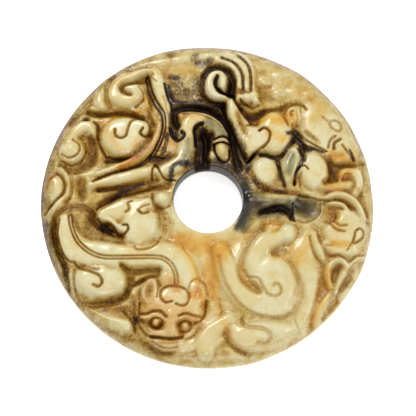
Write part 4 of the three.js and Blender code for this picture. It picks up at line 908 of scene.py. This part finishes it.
def carve_mask(face):
    """The round mask with its ears, brows, eyes and mouth at the bottom."""
    face.dirt = {"umber": 0.8}
    face.hollow(0.3, (-14.9, -24, 0.6), (-15, -26.6, 0.9), (-13.4, -29.8, 0.9), (-10.6, -31.8, 0.8),
        (-7.6, -32.3, 0.7), umber=0)
    face.ridge(0.3, (-5.4, -31.6, 1), (-2, -29.6, 1.6), (0.2, -26.4, 1.6), (1.6, -22.6, 1.4), fullness=4)
    face.dome(0.9, -7.4, -24.4, 6.8, 6.7, 8, fullness=4)
    face.dome(0.75, -8, -30.1, 3.9, 1.7, -3, fullness=3.2)
    face.ridge(0.7, (-8.6, -16.8, 1.7), (-7.2, -18.6, 2.2), (-6.8, -20.4, 2.6), fullness=3.2)
    face.dome(0.35, -15.3, -20.7, 1, 2.5, -8)
    face.dome(0.5, 0.7, -22.9, 0.7, 2.1, 4)
    face.dome(1, -12, -19.6, 1.75, 3, -14, fullness=3.6)
    face.dome(1, -2.2, -20.1, 1.75, 2.9, 10, fullness=3.6)
    face.dish(-0.35, -12, -19.6, 1, 2.1, -14, umber=0.9)
    face.ridge(0.75, (-11.9, -21.6, 0.55), (-11.8, -19.6, 0.4), (-11.8, -18.8, 0.25))
    face.dish(-0.35, -2.1, -20.6, 0.95, 2.1, 10, ochre=0.5)
    face.ridge(0.75, (-2.3, -22.2, 0.7), (-2.1, -20.6, 0.5), (-2.1, -19.6, 0.25))
    face.dish(-0.15, -10.9, -26.5, 2.2, 1.35, -16, umber=0.9)
    face.dish(-0.15, -4.9, -26.9, 1.75, 1.65, umber=0.9)
    face.hollow(-0.15, (-5.6, -28, 0.6), (-5.3, -29, 0.4))
    face.dome(0.9, -10.7, -26.2, 0.8, 0.8, fullness=2.8)
    face.dome(0.9, -4.8, -26.9, 1.05, 1.05, fullness=2.8)
    face.ridge(1.1, (-7.7, -24.2, 0.9), (-7.3, -26.6, 1.2), (-7.4, -28.2, 1.4), fullness=2.2)
    face.ridge(1, (-13.7, -25, 0.28), (-12.5, -25.2, 0.3), (-11.2, -24.7, 0.32), (-9.5, -25, 0.28))
    face.ridge(1, (-6, -25.6, 0.28), (-4.6, -25.1, 0.32), (-3.2, -25.5, 0.34), (-2, -26.2, 0.25))
    face.cut(1, (-14.1, -24.3), (-12.7, -24.4), (-11.3, -23.9), (-9.7, -24), (-8.6, -25), width=1.15)
    face.cut(1, (-6.1, -24.8), (-4.6, -24.4), (-3, -24.8), (-1.4, -25))
    face.cut(1, (-10.6, -25.2), (-9.5, -25.7), (-9.6, -26.8), (-10.6, -27.3), (-11.6, -26.8),
        (-11.6, -25.6), width=0.6, closed=True)
    face.cut(1, (-4.8, -25.8), (-3.7, -26.4), (-3.8, -27.6), (-4.8, -28.1), (-5.9, -27.5), (-5.9, -26.3),
        width=0.6, closed=True)
    face.cut(1.1, (-11.7, -28.9), (-10, -29.2), (-7.5, -29.5), (-5.4, -29.1), width=1.25, umber=1)
    face.cut(0.7, (-11.3, -29.9), (-9.8, -30.8), (-8.2, -31.2), (-6.3, -31), width=0.7)
    face.cut(0.95, (-7.5, -21.9), (-8.8, -22.1), (-9.75, -21), (-9.6, -19.5), (-8.4, -18.8), (-6.4, -18.8),
        (-4.6, -19.5), (-3.95, -20.9), (-4.4, -22.4), (-5.5, -22.8), (-6.6, -22.4), width=0.9)
    face.cut(0.95, (-0.5, -21.6), (-0.7, -24), (-1.6, -25.7), (-2.9, -26.5), width=0.7, umber=1)
    face.cut(0.6, (-2, -27.2), (-3, -28.7), (-4.8, -29.6), width=0.9, umber=0.5)
    face.cut(0.8, (-14, -22), (-14.2, -25.6), (-13.6, -27.4), (-12.2, -28.8), width=0.8)
    face.cut(0.8, (-10.5, -17.4), (-10.2, -19), (-10.5, -21), width=0.55, umber=0.6)
    face.cut(0.8, (-4.1, -19.4), (-3.7, -18), (-2.4, -17.2), (-0.9, -18), (-0.2, -20.4), width=0.6,
        umber=0.6)
    face.cut(0.5, (2.1, -21.4), (2.5, -24), umber=0.4)
    face.stain("peach", 0.85, (-10.6, -23.5, 6), (-7.6, -27, 7), (-4, -24.6, 6))
    face.stain("peach", 0.8, (-12, -18.4, 2), (-11.6, -20.6, 2.2))
    face.stain("peach", 0.8, (-2, -18.4, 2), (-2.4, -20.6, 2.2))
    face.stain("peach", 0.9, (-8.4, -17.4, 2.6), (-6.6, -19, 3))
    face.stain("umber", 0.85, (-13.8, -25.6, 0.9), (-12.4, -26.3, 1.5), (-10.8, -26.8, 1.9),
        (-9.3, -26.2, 1.2))
    face.stain("umber", 0.85, (-6, -26.6, 1.5), (-4.8, -27, 2), (-3.4, -26.4, 1.3), (-2.2, -26.2, 0.7))
    face.stain("umber", 0.45, (-9.6, -30, 1.1), (-6.4, -30.2, 1.2))
    face.clean(1, -10.7, -26.2, 0.85, 0.85)
    face.clean(1, -4.8, -26.9, 0.9, 0.9)
    face.stain("peach", 0.7, (-10.8, -26.2, 1.2), (-10.6, -26.2, 1.2))
    face.stain("peach", 0.7, (-4.9, -26.9, 1.2), (-4.7, -26.9, 1.2))
    face.stain("ochre", 0.6, (-3.4, -20.4, 1.6), (-1.6, -20.4, 1.6), (-1, -22.6, 1.4))
    face.stain("umber", 0.6, (-16.8, -28.8, 1.3), (-13.6, -30, 1.6), (-10.6, -31.6, 1.3))
    face.stain("black", 0.7, (-14.8, -25.2, 0.9), (-14.7, -26, 0.7))
    face.stain("umber", 0.6, (-15.3, -21, 1.3), (-15.2, -23.4, 1.2))


def carve_left(face):
    """The long body, its two haunches and its feet at the left."""
    face.dirt = {"umber": 0.75}
    face.hollow(0.45, (-26.6, 3.4, 1.4), (-26.4, 0.2, 1.3), umber=0.2)
    face.hollow(0.35, (-24, -3, 1.4), (-24.2, -6.4, 1.8), (-20, -8.6, 1.4), (-17.4, -9.4, 0.7), umber=0.2)
    face.hollow(0.6, (-22.6, -1.4, 0.8), (-18, 0.8, 0.8), (-12, 2.2, 0.8), (-8.6, 2.8, 0.9), umber=0.5)
    face.hollow(0.4, (-10.4, -2, 1), (-9, -5, 1.8), (-8.4, -8.2, 1.4), umber=0.3)
    face.ridge(0.75, (-29.5, -4.6, 1.3), (-29, -8, 2.2), (-26.4, -11.4, 3), (-20, -12.4, 2.9),
        (-14, -12.3, 2.5), (-9.4, -12.6, 3.2), (-5.8, -14.6, 3.9), (-4.8, -18, 3.2), fullness=4)
    face.dome(0.95, -14.4, -5.6, 4.5, 5.6, -8, fullness=3.6)
    face.ridge(0.7, (-21.6, -3.4, 1.4), (-18, -2.8, 2.7), (-15, -2.6, 2.6), (-12.8, -1.4, 1.5),
        fullness=3.2)
    face.ridge(0.9, (-22.6, -4.3, 0.6), (-20.4, -5, 0.7), (-18.4, -6.6, 0.8), (-17.4, -6.8, 0.8))
    face.hollow(0.9, (-24.4, -4.4, 0.6), (-22.6, -6.1, 0.7), (-20.9, -6.7, 1), (-19, -7.8, 0.6),
        (-17.6, -8.3, 0.4), umber=0.5)
    face.dome(0.9, -22.2, -17.4, 6, 4, -4, fullness=3.6)
    face.ridge(0.5, (-28.2, -16, 0.6), (-28, -19, 0.6), (-27, -21.6, 0.4))
    face.ridge(0.6, (-33.2, -5, 0.8), (-32.9, -9, 0.9), (-31.4, -13, 0.9), (-29.6, -17, 0.8),
        (-27.6, -21, 0.8), (-25, -24, 1.2))
    face.hollow(0.6, (-31.9, -4.6, 0.6), (-31.8, -8, 0.5), (-31, -11, 0.5), (-29.6, -14, 0.6),
        (-29, -17, 0.4), (-28, -20.4, 0.3), umber=0.35)
    face.hollow(0.7, (-18, -14.1, 0.35), (-16.4, -15.4, 0.7), (-15.8, -17.4, 0.8), (-16.6, -20, 0.8),
        (-18.4, -21.6, 0.7), (-22.6, -22.2, 0.7), (-26, -22.4, 0.5), umber=0.3)
    face.hollow(0.7, (-15.4, -15.8, 0.7), (-12.8, -15.3, 0.8), (-10.2, -15.2, 0.7), umber=0.6)
    face.hollow(0.9, (-15.4, -18.4, 0.5), (-13.6, -17.4, 0.5), (-12, -16.6, 0.4), (-10, -16.3, 0.4),
        umber=1)
    face.ridge(0.5, (-17, -14, 0.5), (-13.4, -14.2, 0.7), (-9.6, -14, 0.6))
    face.ridge(0.55, (-25.4, -23.4, 1.2), (-21.4, -26, 1.9), (-18, -26.9, 2), (-16.2, -26.7, 1.3),
        fullness=3.2)
    face.dome(0.9, -9.6, -0.2, 1.8, 1.8, fullness=3.2)
    face.dome(0.35, -8.8, -2.5, 0.8, 0.8)
    face.dome(0.3, -8.8, -3.9, 0.5, 0.5)
    face.ridge(0.75, (-15, -2.6, 0.35), (-13.8, -1.3, 0.6), (-12.4, -0.5, 0.6))
    face.cut(0.9, (-6.6, -18.1), (-6.7, -16.4), (-7.5, -14.5), (-9.2, -13.1), (-11.5, -12.7), (-18, -12.8),
        (-21.6, -12.7), (-24.4, -11.6), (-26.8, -9.4), (-28.1, -6.4), (-28.5, -4), width=0.7, gap=0.62)
    face.cut(0.8, (-32, -4.2), (-30.6, -2.6), (-28.6, -1.7), (-26, -1.7), (-24.2, -2.8), (-23.4, -4),
        width=1.3, umber=0.6)
    face.cut(0.4, (-29.6, -3.5), (-28.2, -2.8), (-26.4, -2.9), width=0.9)
    face.cut(1, (-22.9, -4.6), (-22, -5.5), (-20.5, -5.6), (-19.4, -6.6), (-18.5, -7.7), (-17.3, -7.8),
        (-16.5, -6.9), (-16.8, -6), (-17.6, -5.9), width=0.9, umber=0.95)
    face.cut(1, (-27.4, -13.9), (-26.2, -15), (-24, -15.8), (-22.3, -16.6), (-21.6, -17.9), (-22.3, -18.9),
        (-23.4, -18.5))
    face.cut(0.8, (-9.8, -8.4), (-11, -10.1), (-12.8, -11), (-14.6, -11.1), (-15.2, -10.5), width=0.85)
    face.cut(0.7, (-27.4, -15.3), (-27.4, -18), (-27, -20), (-26.2, -21.6), width=0.85)
    face.cut(0.9, (-30.7, -4.6), (-31, -8), (-30, -11.4), (-28.6, -13.4), (-27.2, -13.8), width=0.7)
    face.cut(0.8, (-15.9, -0.7), (-16.7, -1.3), (-16.4, -2.5), (-17.1, -3.2), width=0.8)
    face.cut(0.9, (-14.5, -2.9), (-13.6, -3.6), (-12.4, -3.3), umber=0.9)
    face.cut(0.6, (-12.2, -1.6), (-13.5, -2), (-14.5, -2.9), width=0.7)
    face.cut(0.8, (-23.2, -2.4), (-21, -1), (-18.6, 0.2), (-15, 1.2), (-11.4, 2.4), width=0.9)
    face.cut(0.7, (-22.2, -2.6), (-20, -1.2), (-18.4, -0.4), width=0.8)
    face.cut(0.8, (-11.6, 1), (-11.6, -0.6), (-10.8, -1.8), (-9.2, -2.2), (-8, -1.6), width=0.8)
    face.cut(0.8, (-14.9, -28), (-15.1, -26.8), (-16, -25.2), (-17.4, -23.8), width=0.8)
    face.cut(0.7, (-5.2, -10.6), (-3.6, -12.8), (-2.4, -15.2), (-1.7, -17.5), width=1.1, ochre=0.8)
    face.cut(0.5, (-33.6, -6), (-33.2, -10), (-31.6, -14), width=0.8, black=0.4)
    face.stain("black", 0.8, (-21.8, -6.3, 1.5), (-20.2, -7.1, 1.5))
    face.stain("umber", 0.5, (-24.4, -3.4, 1.5), (-23.6, -5.4, 1.4), (-20.6, -7.2, 1.8), (-17.6, -8.6, 1.2))
    face.stain("umber", 0.6, (-31.6, -3.8, 1.4), (-28.6, -2, 1.5), (-25.6, -2.4, 1.4), (-24.4, -3.2, 1.5))
    face.stain("black", 0.38, (-33.2, -5.4, 0.9), (-32.2, -9, 1.1), (-30.8, -12.4, 1.2),
        (-29.4, -15.2, 1.2), (-28.6, -19.4, 0.6))
    face.stain("umber", 0.9, (-26, -14.5, 0.7), (-24, -15, 0.9), (-22.2, -15.4, 0.6))
    face.stain("umber", 0.4, (-16.2, -15.6, 1.4), (-16, -18, 1.6), (-17.2, -20.8, 1.5), (-22, -22.2, 1.3))
    face.stain("umber", 0.65, (-25, -22.6, 1.2), (-20.4, -23, 1.6), (-16, -23.6, 1.6), (-15, -25.6, 1))
    face.stain("black", 0.6, (-20.4, -0.9, 0.8), (-18.4, 1.2, 0.9), (-15.6, 2.4, 0.8), (-13.6, 3.2, 0.7))
    face.stain("umber", 0.7, (-12, 2.8, 1.2), (-9, 2.4, 1.4), (-8, 3.2, 1.2))
    face.stain("umber", 0.6, (-12.4, -2.8, 1), (-9.4, -3, 1.2), (-9, -6.6, 1.6))
    face.stain("ochre", 0.55, (-6, -10, 2), (-3.4, -14, 2.4), (-2.4, -17.6, 1.8))
    face.stain("umber", 0.6, (-17.6, -28.8, 0.9), (-21.6, -27.2, 0.9))

# The figures in the order that they are carved.
FIGURES = (
    carve_upper_left,
    carve_left,
    carve_bottom_right,
    carve_right,
    carve_upper_right,
    carve_top,
    carve_mask,
)


def disc_section(sizes):
    """The disc's section before carving: (radius, height) points once round it, in millimetres."""
    radius, hole, lip = sizes.disc_radius / MM, sizes.hole_radius / MM, sizes.hole_lip / MM
    plate, equator = sizes.plate_thickness / MM, sizes.rim_equator / MM
    shoulder, undercut = sizes.rim_shoulder / MM, sizes.rim_undercut / MM
    rows = sizes.face_rows
    quarter = math.pi / 2
    section = []
    for t in np.linspace(0, 1, rows, endpoint=False):
        section.append((hole + lip + t * (radius - shoulder - hole - lip), plate))
    for t in np.linspace(0, quarter, rows // SHOULDER_ROWS, endpoint=False):
        section.append((radius + shoulder * (math.sin(t) - 1), equator + (plate - equator) * math.cos(t)))
    for t in np.linspace(0, quarter, rows // UNDERCUT_ROWS, endpoint=False):
        section.append((radius + undercut * (math.cos(t) - 1), equator * (1 - math.sin(t))))
    for t in np.linspace(1, 0, rows // BACK_ROWS, endpoint=False):
        section.append((hole + lip + t * (radius - undercut - hole - lip), 0))
    for t in np.linspace(0, quarter, LOWER_LIP_ROWS, endpoint=False):
        section.append((hole + lip - lip * math.sin(t), lip * (1 - math.cos(t))))
    for t in np.linspace(lip, plate - lip, rows // WALL_ROWS, endpoint=False):
        section.append((hole, t))
    for t in np.linspace(0, quarter, UPPER_LIP_ROWS, endpoint=False):
        section.append((hole + lip - lip * math.cos(t), plate - lip * (1 - math.sin(t))))
    return section


def turned_blank(sizes, name):
    """Turns the uncarved disc from its section, in metres."""
    section = disc_section(sizes)
    bpy.ops.object.select_all(action="DESELECT")
    bpy.ops.mesh.primitive_circle_add(vertices=len(section), radius=sizes.hole_lip, fill_type="NOTHING")
    blank = bpy.context.object
    blank.name = name
    blank.data.name = name
    for vertex, (radius, height) in zip(blank.data.vertices, section):
        vertex.co = (radius * MM, 0, height * MM)
    turning = blank.modifiers.new("Turn", "SCREW")
    turning.axis = "Z"
    turning.angle = 2 * math.pi
    turning.steps = sizes.columns
    turning.render_steps = sizes.columns
    turning.use_merge_vertices = True
    turning.merge_threshold = WELD
    bpy.ops.object.modifier_apply(modifier=turning.name)
    bpy.ops.object.mode_set(mode="EDIT")
    bpy.ops.mesh.select_all(action="SELECT")
    bpy.ops.mesh.remove_doubles(threshold=WELD)
    bpy.ops.mesh.normals_make_consistent(inside=False)
    bpy.ops.object.mode_set(mode="OBJECT")
    return blank


def vertex_places(mesh):
    """Every vertex's place in millimetres, as one array."""
    places = np.empty(len(mesh.vertices) * 3)
    mesh.vertices.foreach_get("co", places)
    return places.reshape(-1, 3) / MM


def move_vertices(mesh, places):
    """Puts every vertex at its place in millimetres."""
    mesh.vertices.foreach_set("co", (places * MM).ravel())
    mesh.update()


def outline_swelling(direction):
    """How far the worn outline stands out in some directions, in radians."""
    swelling = np.zeros_like(direction)
    for centre, spread, amount in OUTLINE_SWELLINGS:
        away = (np.degrees(direction) - centre + 180) % 360 - 180
        swelling += amount * np.exp(-(away / spread) ** 2)
    return swelling


def press_carving(mesh, face, sizes):
    """Moves the vertices of the turned blank to the carved and worn surface."""
    radius, hole, lip = sizes.disc_radius / MM, sizes.hole_radius / MM, sizes.hole_lip / MM
    plate, equator = sizes.plate_thickness / MM, sizes.rim_equator / MM
    shoulder, undercut = sizes.rim_shoulder / MM, sizes.rim_undercut / MM
    places = vertex_places(mesh)
    x, y, z = places.T
    out = np.hypot(x, y)
    direction = np.arctan2(y, x)
    rim = np.clip((out - radius + shoulder) / shoulder, 0, 1)
    edge = np.clip((hole + lip - out) / lip, 0, 1)
    crown = np.clip(1 - rim ** 2, 0, 1) ** CROWN_ROUNDING * np.sqrt(np.clip(1 - edge ** 2, 0, 1))
    upper = z > np.where(out < hole + lip, plate - lip - SLACK, equator + SLACK)
    carved = z + np.where(upper, face.sample(face.height, x, y) * crown, 0)
    under = np.clip((out - radius + undercut) / undercut, 0, 1)
    grown = out + outline_swelling(direction) * np.where(z >= equator - SLACK, rim, under)
    move_vertices(mesh, np.stack([grown * np.cos(direction), grown * np.sin(direction), carved], 1))


def thin_out(piece, triangles):
    """Leaves facets only where the surface turns."""
    bpy.context.view_layer.objects.active = piece
    thinning = piece.modifiers.new("Thin", "DECIMATE")
    thinning.ratio = min(1, triangles / (2 * len(piece.data.polygons)))
    thinning.use_collapse_triangulate = True
    bpy.ops.object.modifier_apply(modifier=thinning.name)


def mark_stains(mesh, face, sizes):
    """Gives every vertex its share of each stain. The side of the rim gets dirt and painted shade; the back
    stays clean.
    """
    radius, hole = sizes.disc_radius / MM, sizes.hole_radius / MM
    x, y, z = vertex_places(mesh).T
    normals = np.empty(len(mesh.vertices) * 3)
    mesh.vertices.foreach_get("normal", normals)
    upward = normals.reshape(-1, 3)[:, 2]
    out = np.hypot(x, y)
    on_wall = np.clip((hole + WALL_START - out) / WALL_FADE, 0, 1)
    on_face = np.clip((z - FACE_LOW) / FACE_FADE, 0, 1)
    on_face *= np.clip((upward - FACE_SLOPE) / FACE_SLOPE_FADE, 0, 1)
    shown = np.maximum(on_face, on_wall)
    marks = {name: face.sample(grid, x, y) * shown for name, grid in face.stains.items()}
    # Dirt and painted shade on the side of the rim where it leans outwards, laid into the umber stain.
    side = np.clip((SIDE_SLOPE - upward) / SIDE_FADE, 0, 1) * np.clip(z / SIDE_HEIGHT, 0, 1)
    side *= out > radius - SIDE_WIDTH
    side *= SIDE_UNDER_SHARE + (1 - SIDE_UNDER_SHARE) * np.clip((upward - SIDE_TURN) / SIDE_FADE, 0, 1)
    side *= np.clip(SIDE_DIRT_AND_SHADE + (y - SIDE_LEAN * x) / SIDE_CHANGE, SIDE_LEAST, SIDE_MOST)
    marks["umber"] = np.maximum(marks["umber"], side)
    upper_wall = np.clip((y - UPPER_WALL_START) / UPPER_WALL_FADE, 0, 1)
    upper_wall *= np.clip((hole + UPPER_WALL_DEPTH - out) / UPPER_WALL_EDGE, 0, 1)
    marks["black"] = np.maximum(marks["black"], UPPER_WALL_BLACK * upper_wall)
    marks["umber"] = np.maximum(marks["umber"], UPPER_WALL_UMBER * upper_wall)
    for name, values in marks.items():
        attribute = mesh.attributes.new(name, "FLOAT", "POINT")
        attribute.data.foreach_set("value", values.astype(np.float32))


class NodeBoard:
    """Adds and joins shader nodes."""

    def __init__(self, tree):
        self.tree = tree
        self.tree.nodes.clear()

    def add(self, kind, settings=None, **inputs):
        """A node with some of its settings and inputs given."""
        node = self.tree.nodes.new(kind)
        for name, value in (settings or {}).items():
            setattr(node, name, value)
        for name, value in inputs.items():
            self.set(node, name, value)
        return node

    def set(self, node, name, value):
        """Feeds an input by its number (as i0, i1 and so on) or its name with underscores for spaces."""
        if name[0] == "i" and name[1:].isdigit():
            socket = node.inputs[int(name[1:])]
        else:
            socket = node.inputs[name.replace("_", " ")]
        if isinstance(value, bpy.types.NodeSocket):
            self.tree.links.new(value, socket)
        elif socket.type == "RGBA" and len(value) == 3:
            socket.default_value = (*value, 1)
        else:
            socket.default_value = value

    def sum(self, operation, *values, clamp=False):
        """The result of some arithmetic."""
        inputs = {f"i{i}": value for i, value in enumerate(values)}
        return self.add("ShaderNodeMath", {"operation": operation, "use_clamp": clamp}, **inputs).outputs[0]

    def blend(self, first, second, shares):
        """Two values, each by its share, added up."""
        parts = [self.sum("MULTIPLY", value, share) for value, share in zip((first, second), shares)]
        return self.sum("ADD", *parts)

    def noise(self, place, name):
        """One of the stone's noises."""
        scale, detail, roughness, distortion = NOISES[name]
        node = self.add("ShaderNodeTexNoise", Vector=place, Scale=scale, Detail=detail, Roughness=roughness,
                        Distortion=distortion)
        return node.outputs["Fac"]

    def step(self, value, low, high, start=0.0, end=1.0):
        """A soft step from one value to another as the first input rises."""
        node = self.add("ShaderNodeMapRange", {"interpolation_type": "SMOOTHSTEP"}, Value=value, From_Min=low,
                        From_Max=high, To_Min=start, To_Max=end)
        return node.outputs[0]

    def mix(self, share, first, second, blend="MIX"):
        """Two colours mixed."""
        settings = {"data_type": "RGBA", "blend_type": blend}
        return self.add("ShaderNodeMix", settings, i0=share, i6=first, i7=second).outputs[2]

    def attribute(self, name):
        """One of the mesh's stains."""
        return self.add("ShaderNodeAttribute", {"attribute_name": name}).outputs["Fac"]


def broken_stain_group():
    """A node group: breaks up a stain with noise, more where it is thin."""
    group = bpy.data.node_groups.new("Broken Stain", "ShaderNodeTree")
    for name, low, high, value in (("Stain", 0, 1, 0), ("Noise", 0, 1, 0.5), ("Break", 0, 4, 1)):
        socket = group.interface.new_socket(name, in_out="INPUT", socket_type="NodeSocketFloat")
        socket.min_value, socket.max_value, socket.default_value = low, high, value
    group.interface.new_socket("Mask", in_out="OUTPUT", socket_type="NodeSocketFloat")
    board = NodeBoard(group)
    given = board.add("NodeGroupInput")
    centred = board.sum("SUBTRACT", given.outputs["Noise"], 0.5)
    pushed = board.sum("MULTIPLY", centred, given.outputs["Break"])
    near = board.sum("MULTIPLY", board.step(given.outputs["Stain"], 0, THIN_STAIN), pushed)
    board.add("NodeGroupOutput", Mask=board.sum("ADD", given.outputs["Stain"], near, clamp=True))
    return group


def fill_ramp(ramp, tints, pale):
    """Sets a ramp to what darkens the palest stone to each tint, from no stain to the thickest."""
    elements = ramp.elements
    elements[0].color = (1, 1, 1, 1)
    while len(elements) < len(tints) + 1:
        elements.new(0.5)
    for i, tint in enumerate(tints, 1):
        elements[i].position = i / len(tints)
        elements[i].color = (*(min(1, a / b) for a, b in zip(tint, pale)), 1)


def jade_material(colours):
    """Polished, faintly cloudy jade, darkened by stains in and round its cuts and by painted shade."""
    material = bpy.data.materials.new("Polished Jade")
    material.use_nodes = True
    board = NodeBoard(material.node_tree)
    broken = broken_stain_group()
    object_place = board.add("ShaderNodeTexCoord").outputs["Object"]
    scaling = board.add("ShaderNodeVectorMath", {"operation": "SCALE"}, Vector=object_place, Scale=1 / MM)
    place = scaling.outputs[0]
    clouds, blotches, specks, grains, pits = (board.noise(place, name) for name in NOISES)
    fine = board.blend(specks, grains, FINE_SHARES)
    wide = board.blend(blotches, fine, WIDE_SHARES)
    noises = {"fine": board.step(fine, *NOISE_SPAN), "wide": board.step(wide, *NOISE_SPAN)}

    honey = tuple(colours.honey)
    stone = board.mix(board.step(noises["wide"], *HONEY_BY_NOISE), tuple(colours.pale), honey)
    stone = board.mix(board.step(clouds, *HONEY_BY_CLOUDS), stone, honey)
    for name, noise, amount, tints in STAIN_LAYERS:
        mask = board.add("ShaderNodeGroup", {"node_tree": broken}, Stain=board.attribute(name),
                         Noise=noises[noise], Break=amount)
        ramp = board.add("ShaderNodeValToRGB", Fac=mask.outputs[0])
        fill_ramp(ramp.color_ramp, [getattr(colours, tint) for tint in tints], colours.pale)
        stone = board.mix(1.0, stone, ramp.outputs["Color"], "MULTIPLY")

    pitted = board.sum("MULTIPLY", board.step(pits, *PIT_SPAN), PIT_SHARE)
    relief = board.sum("SUBTRACT", board.blend(grains, specks, BUMP_SHARES), pitted)
    bump = board.add("ShaderNodeBump", Height=relief, Strength=BUMP_STRENGTH, Distance=BUMP_HEIGHT)
    # Dirt, and the painted shade laid into umber and soil with it, also dulls the polish.
    dirt = board.sum("MAXIMUM", board.attribute("umber"), board.attribute("soil"))
    dull = board.sum("MULTIPLY", dirt, ROUGHNESS_OF_DIRT)
    roughness = board.sum("ADD", board.step(specks, *ROUGHNESS_BY_SPECKS), dull)
    shader = board.add(
        "ShaderNodeBsdfPrincipled",
        Base_Color=stone,
        Roughness=roughness,
        IOR=1.6,
        Specular_IOR_Level=board.step(dirt, *SHINE_BY_DIRT),
        Subsurface_Weight=CLOUDY_SHARE,
        Subsurface_Radius=CLOUDY_REACH,
        Subsurface_Scale=MM,
        Normal=bump.outputs[0],
    )
    board.add("ShaderNodeOutputMaterial", Surface=shader.outputs[0])
    return material


def carve_face(sizes):
    """Carves every figure and finishes the face."""
    face = CarvedFace(sizes)
    for carve in FIGURES:
        carve(face)
    face.finish()
    return face


class JADE_OT_disc(bpy.types.Operator):
    """Carves the jade disc"""

    bl_idname = "object.jade_bi_disc_add"
    bl_label = "Jade Disc"
    bl_options = {"REGISTER", "UNDO"}

    def execute(self, context):
        sizes = context.scene.jade_disc_sizes
        face = carve_face(sizes)
        disc = turned_blank(sizes, "carved_jade_disc")
        press_carving(disc.data, face, sizes)
        thin_out(disc, sizes.triangles)
        mark_stains(disc.data, face, sizes)
        for polygon in disc.data.polygons:
            polygon.use_smooth = True
        disc.data.materials.append(jade_material(context.scene.jade_disc_colours))
        if not LEAST_TRIANGLES < len(disc.data.polygons) < MOST_TRIANGLES:
            raise RuntimeError(f"the disc has {len(disc.data.polygons)} triangles")
        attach(disc, "root")
        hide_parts("jade_bi_disc")
        return {"FINISHED"}


def area_light(name, place, aim, size, power):
    """A soft square light that faces a point, all in metres and watts."""
    bpy.ops.object.light_add(type="AREA", location=place)
    light = bpy.context.object
    light.name = name
    light.data.size = size
    light.data.energy = power
    light.rotation_euler = (Vector(aim) - Vector(place)).to_track_quat("-Z", "Y").to_euler()


class JADE_OT_stage(bpy.types.Operator):
    """Sets the pale floor, the lights and the camera"""

    bl_idname = "scene.jade_stage_add"
    bl_label = "Stage"
    bl_options = {"REGISTER", "UNDO"}

    def execute(self, context):
        scene = context.scene
        bpy.ops.object.select_all(action="DESELECT")
        bpy.ops.mesh.primitive_plane_add(size=FLOOR_SIZE)
        floor = context.object
        floor.name = "floor"
        paint = bpy.data.materials.new("Pale Floor")
        paint.use_nodes = True
        board = NodeBoard(paint.node_tree)
        tint = tuple(scene.jade_disc_colours.floor)
        shader = board.add("ShaderNodeBsdfPrincipled", Base_Color=tint, Roughness=FLOOR_ROUGHNESS,
                           Emission_Color=tint, Emission_Strength=FLOOR_GLOW)
        board.add("ShaderNodeOutputMaterial", Surface=shader.outputs[0])
        floor.data.materials.append(paint)

        for name, place, size, power in LIGHTS:
            area_light(name, place, LIGHTS_AIM, size, power)
        world = bpy.data.worlds.new("Studio")
        world.use_nodes = True
        board = NodeBoard(world.node_tree)
        glow = board.add("ShaderNodeBackground", Color=ROOM_COLOUR, Strength=ROOM_STRENGTH)
        board.add("ShaderNodeOutputWorld", Surface=glow.outputs[0])
        scene.world = world
        scene.view_settings.view_transform = "Standard"

        turn, tilt = math.radians(CAMERA_TURN), math.radians(CAMERA_TILT)
        back = Vector((math.sin(turn) * math.cos(tilt), -math.cos(turn) * math.cos(tilt), math.sin(tilt)))
        bpy.ops.object.camera_add(location=(Vector(CAMERA_AIM) + back * CAMERA_DISTANCE) * MM)
        camera = context.object
        camera.name = "Camera"
        camera.data.sensor_width = CAMERA_FILM
        camera.data.lens = CAMERA_LENS
        camera.data.clip_start = 0.01
        camera.data.clip_end = 10
        camera.rotation_mode = "QUATERNION"
        camera.rotation_quaternion = (-back).to_track_quat("-Z", "Y")
        camera.rotation_mode = "XYZ"
        camera.rotation_euler.rotate_axis("Z", -turn)
        scene.camera = camera
        return {"FINISHED"}


class JADE_PT_panel(bpy.types.Panel):
    """Sizes and colours of the jade disc, with its buttons"""

    bl_idname = "JADE_PT_panel"
    bl_label = "Jade Bi Disc"
    bl_space_type = "VIEW_3D"
    bl_region_type = "UI"
    bl_category = "Jade"

    def draw(self, context):
        layout = self.layout
        for group in (context.scene.jade_disc_sizes, context.scene.jade_disc_colours):
            column = layout.column(align=True)
            for name in group.bl_rna.properties.keys():
                if name not in ("rna_type", "name"):
                    column.prop(group, name)
        layout.operator(JADE_OT_disc.bl_idname)
        layout.operator(JADE_OT_stage.bl_idname)


CLASSES = (JadeDiscSizes, JadeDiscColours, JADE_OT_disc, JADE_OT_stage, JADE_PT_panel)


def register():
    for kind in CLASSES:
        bpy.utils.register_class(kind)
    bpy.types.Scene.jade_disc_sizes = PointerProperty(type=JadeDiscSizes)
    bpy.types.Scene.jade_disc_colours = PointerProperty(type=JadeDiscColours)


def unregister():
    del bpy.types.Scene.jade_disc_colours
    del bpy.types.Scene.jade_disc_sizes
    for kind in reversed(CLASSES):
        bpy.utils.unregister_class(kind)


def main():
    """Builds the piece and the stage."""
    register()
    bpy.ops.object.jade_bi_disc_add()
    bpy.ops.scene.jade_stage_add()


if __name__ == "__main__":
    main()
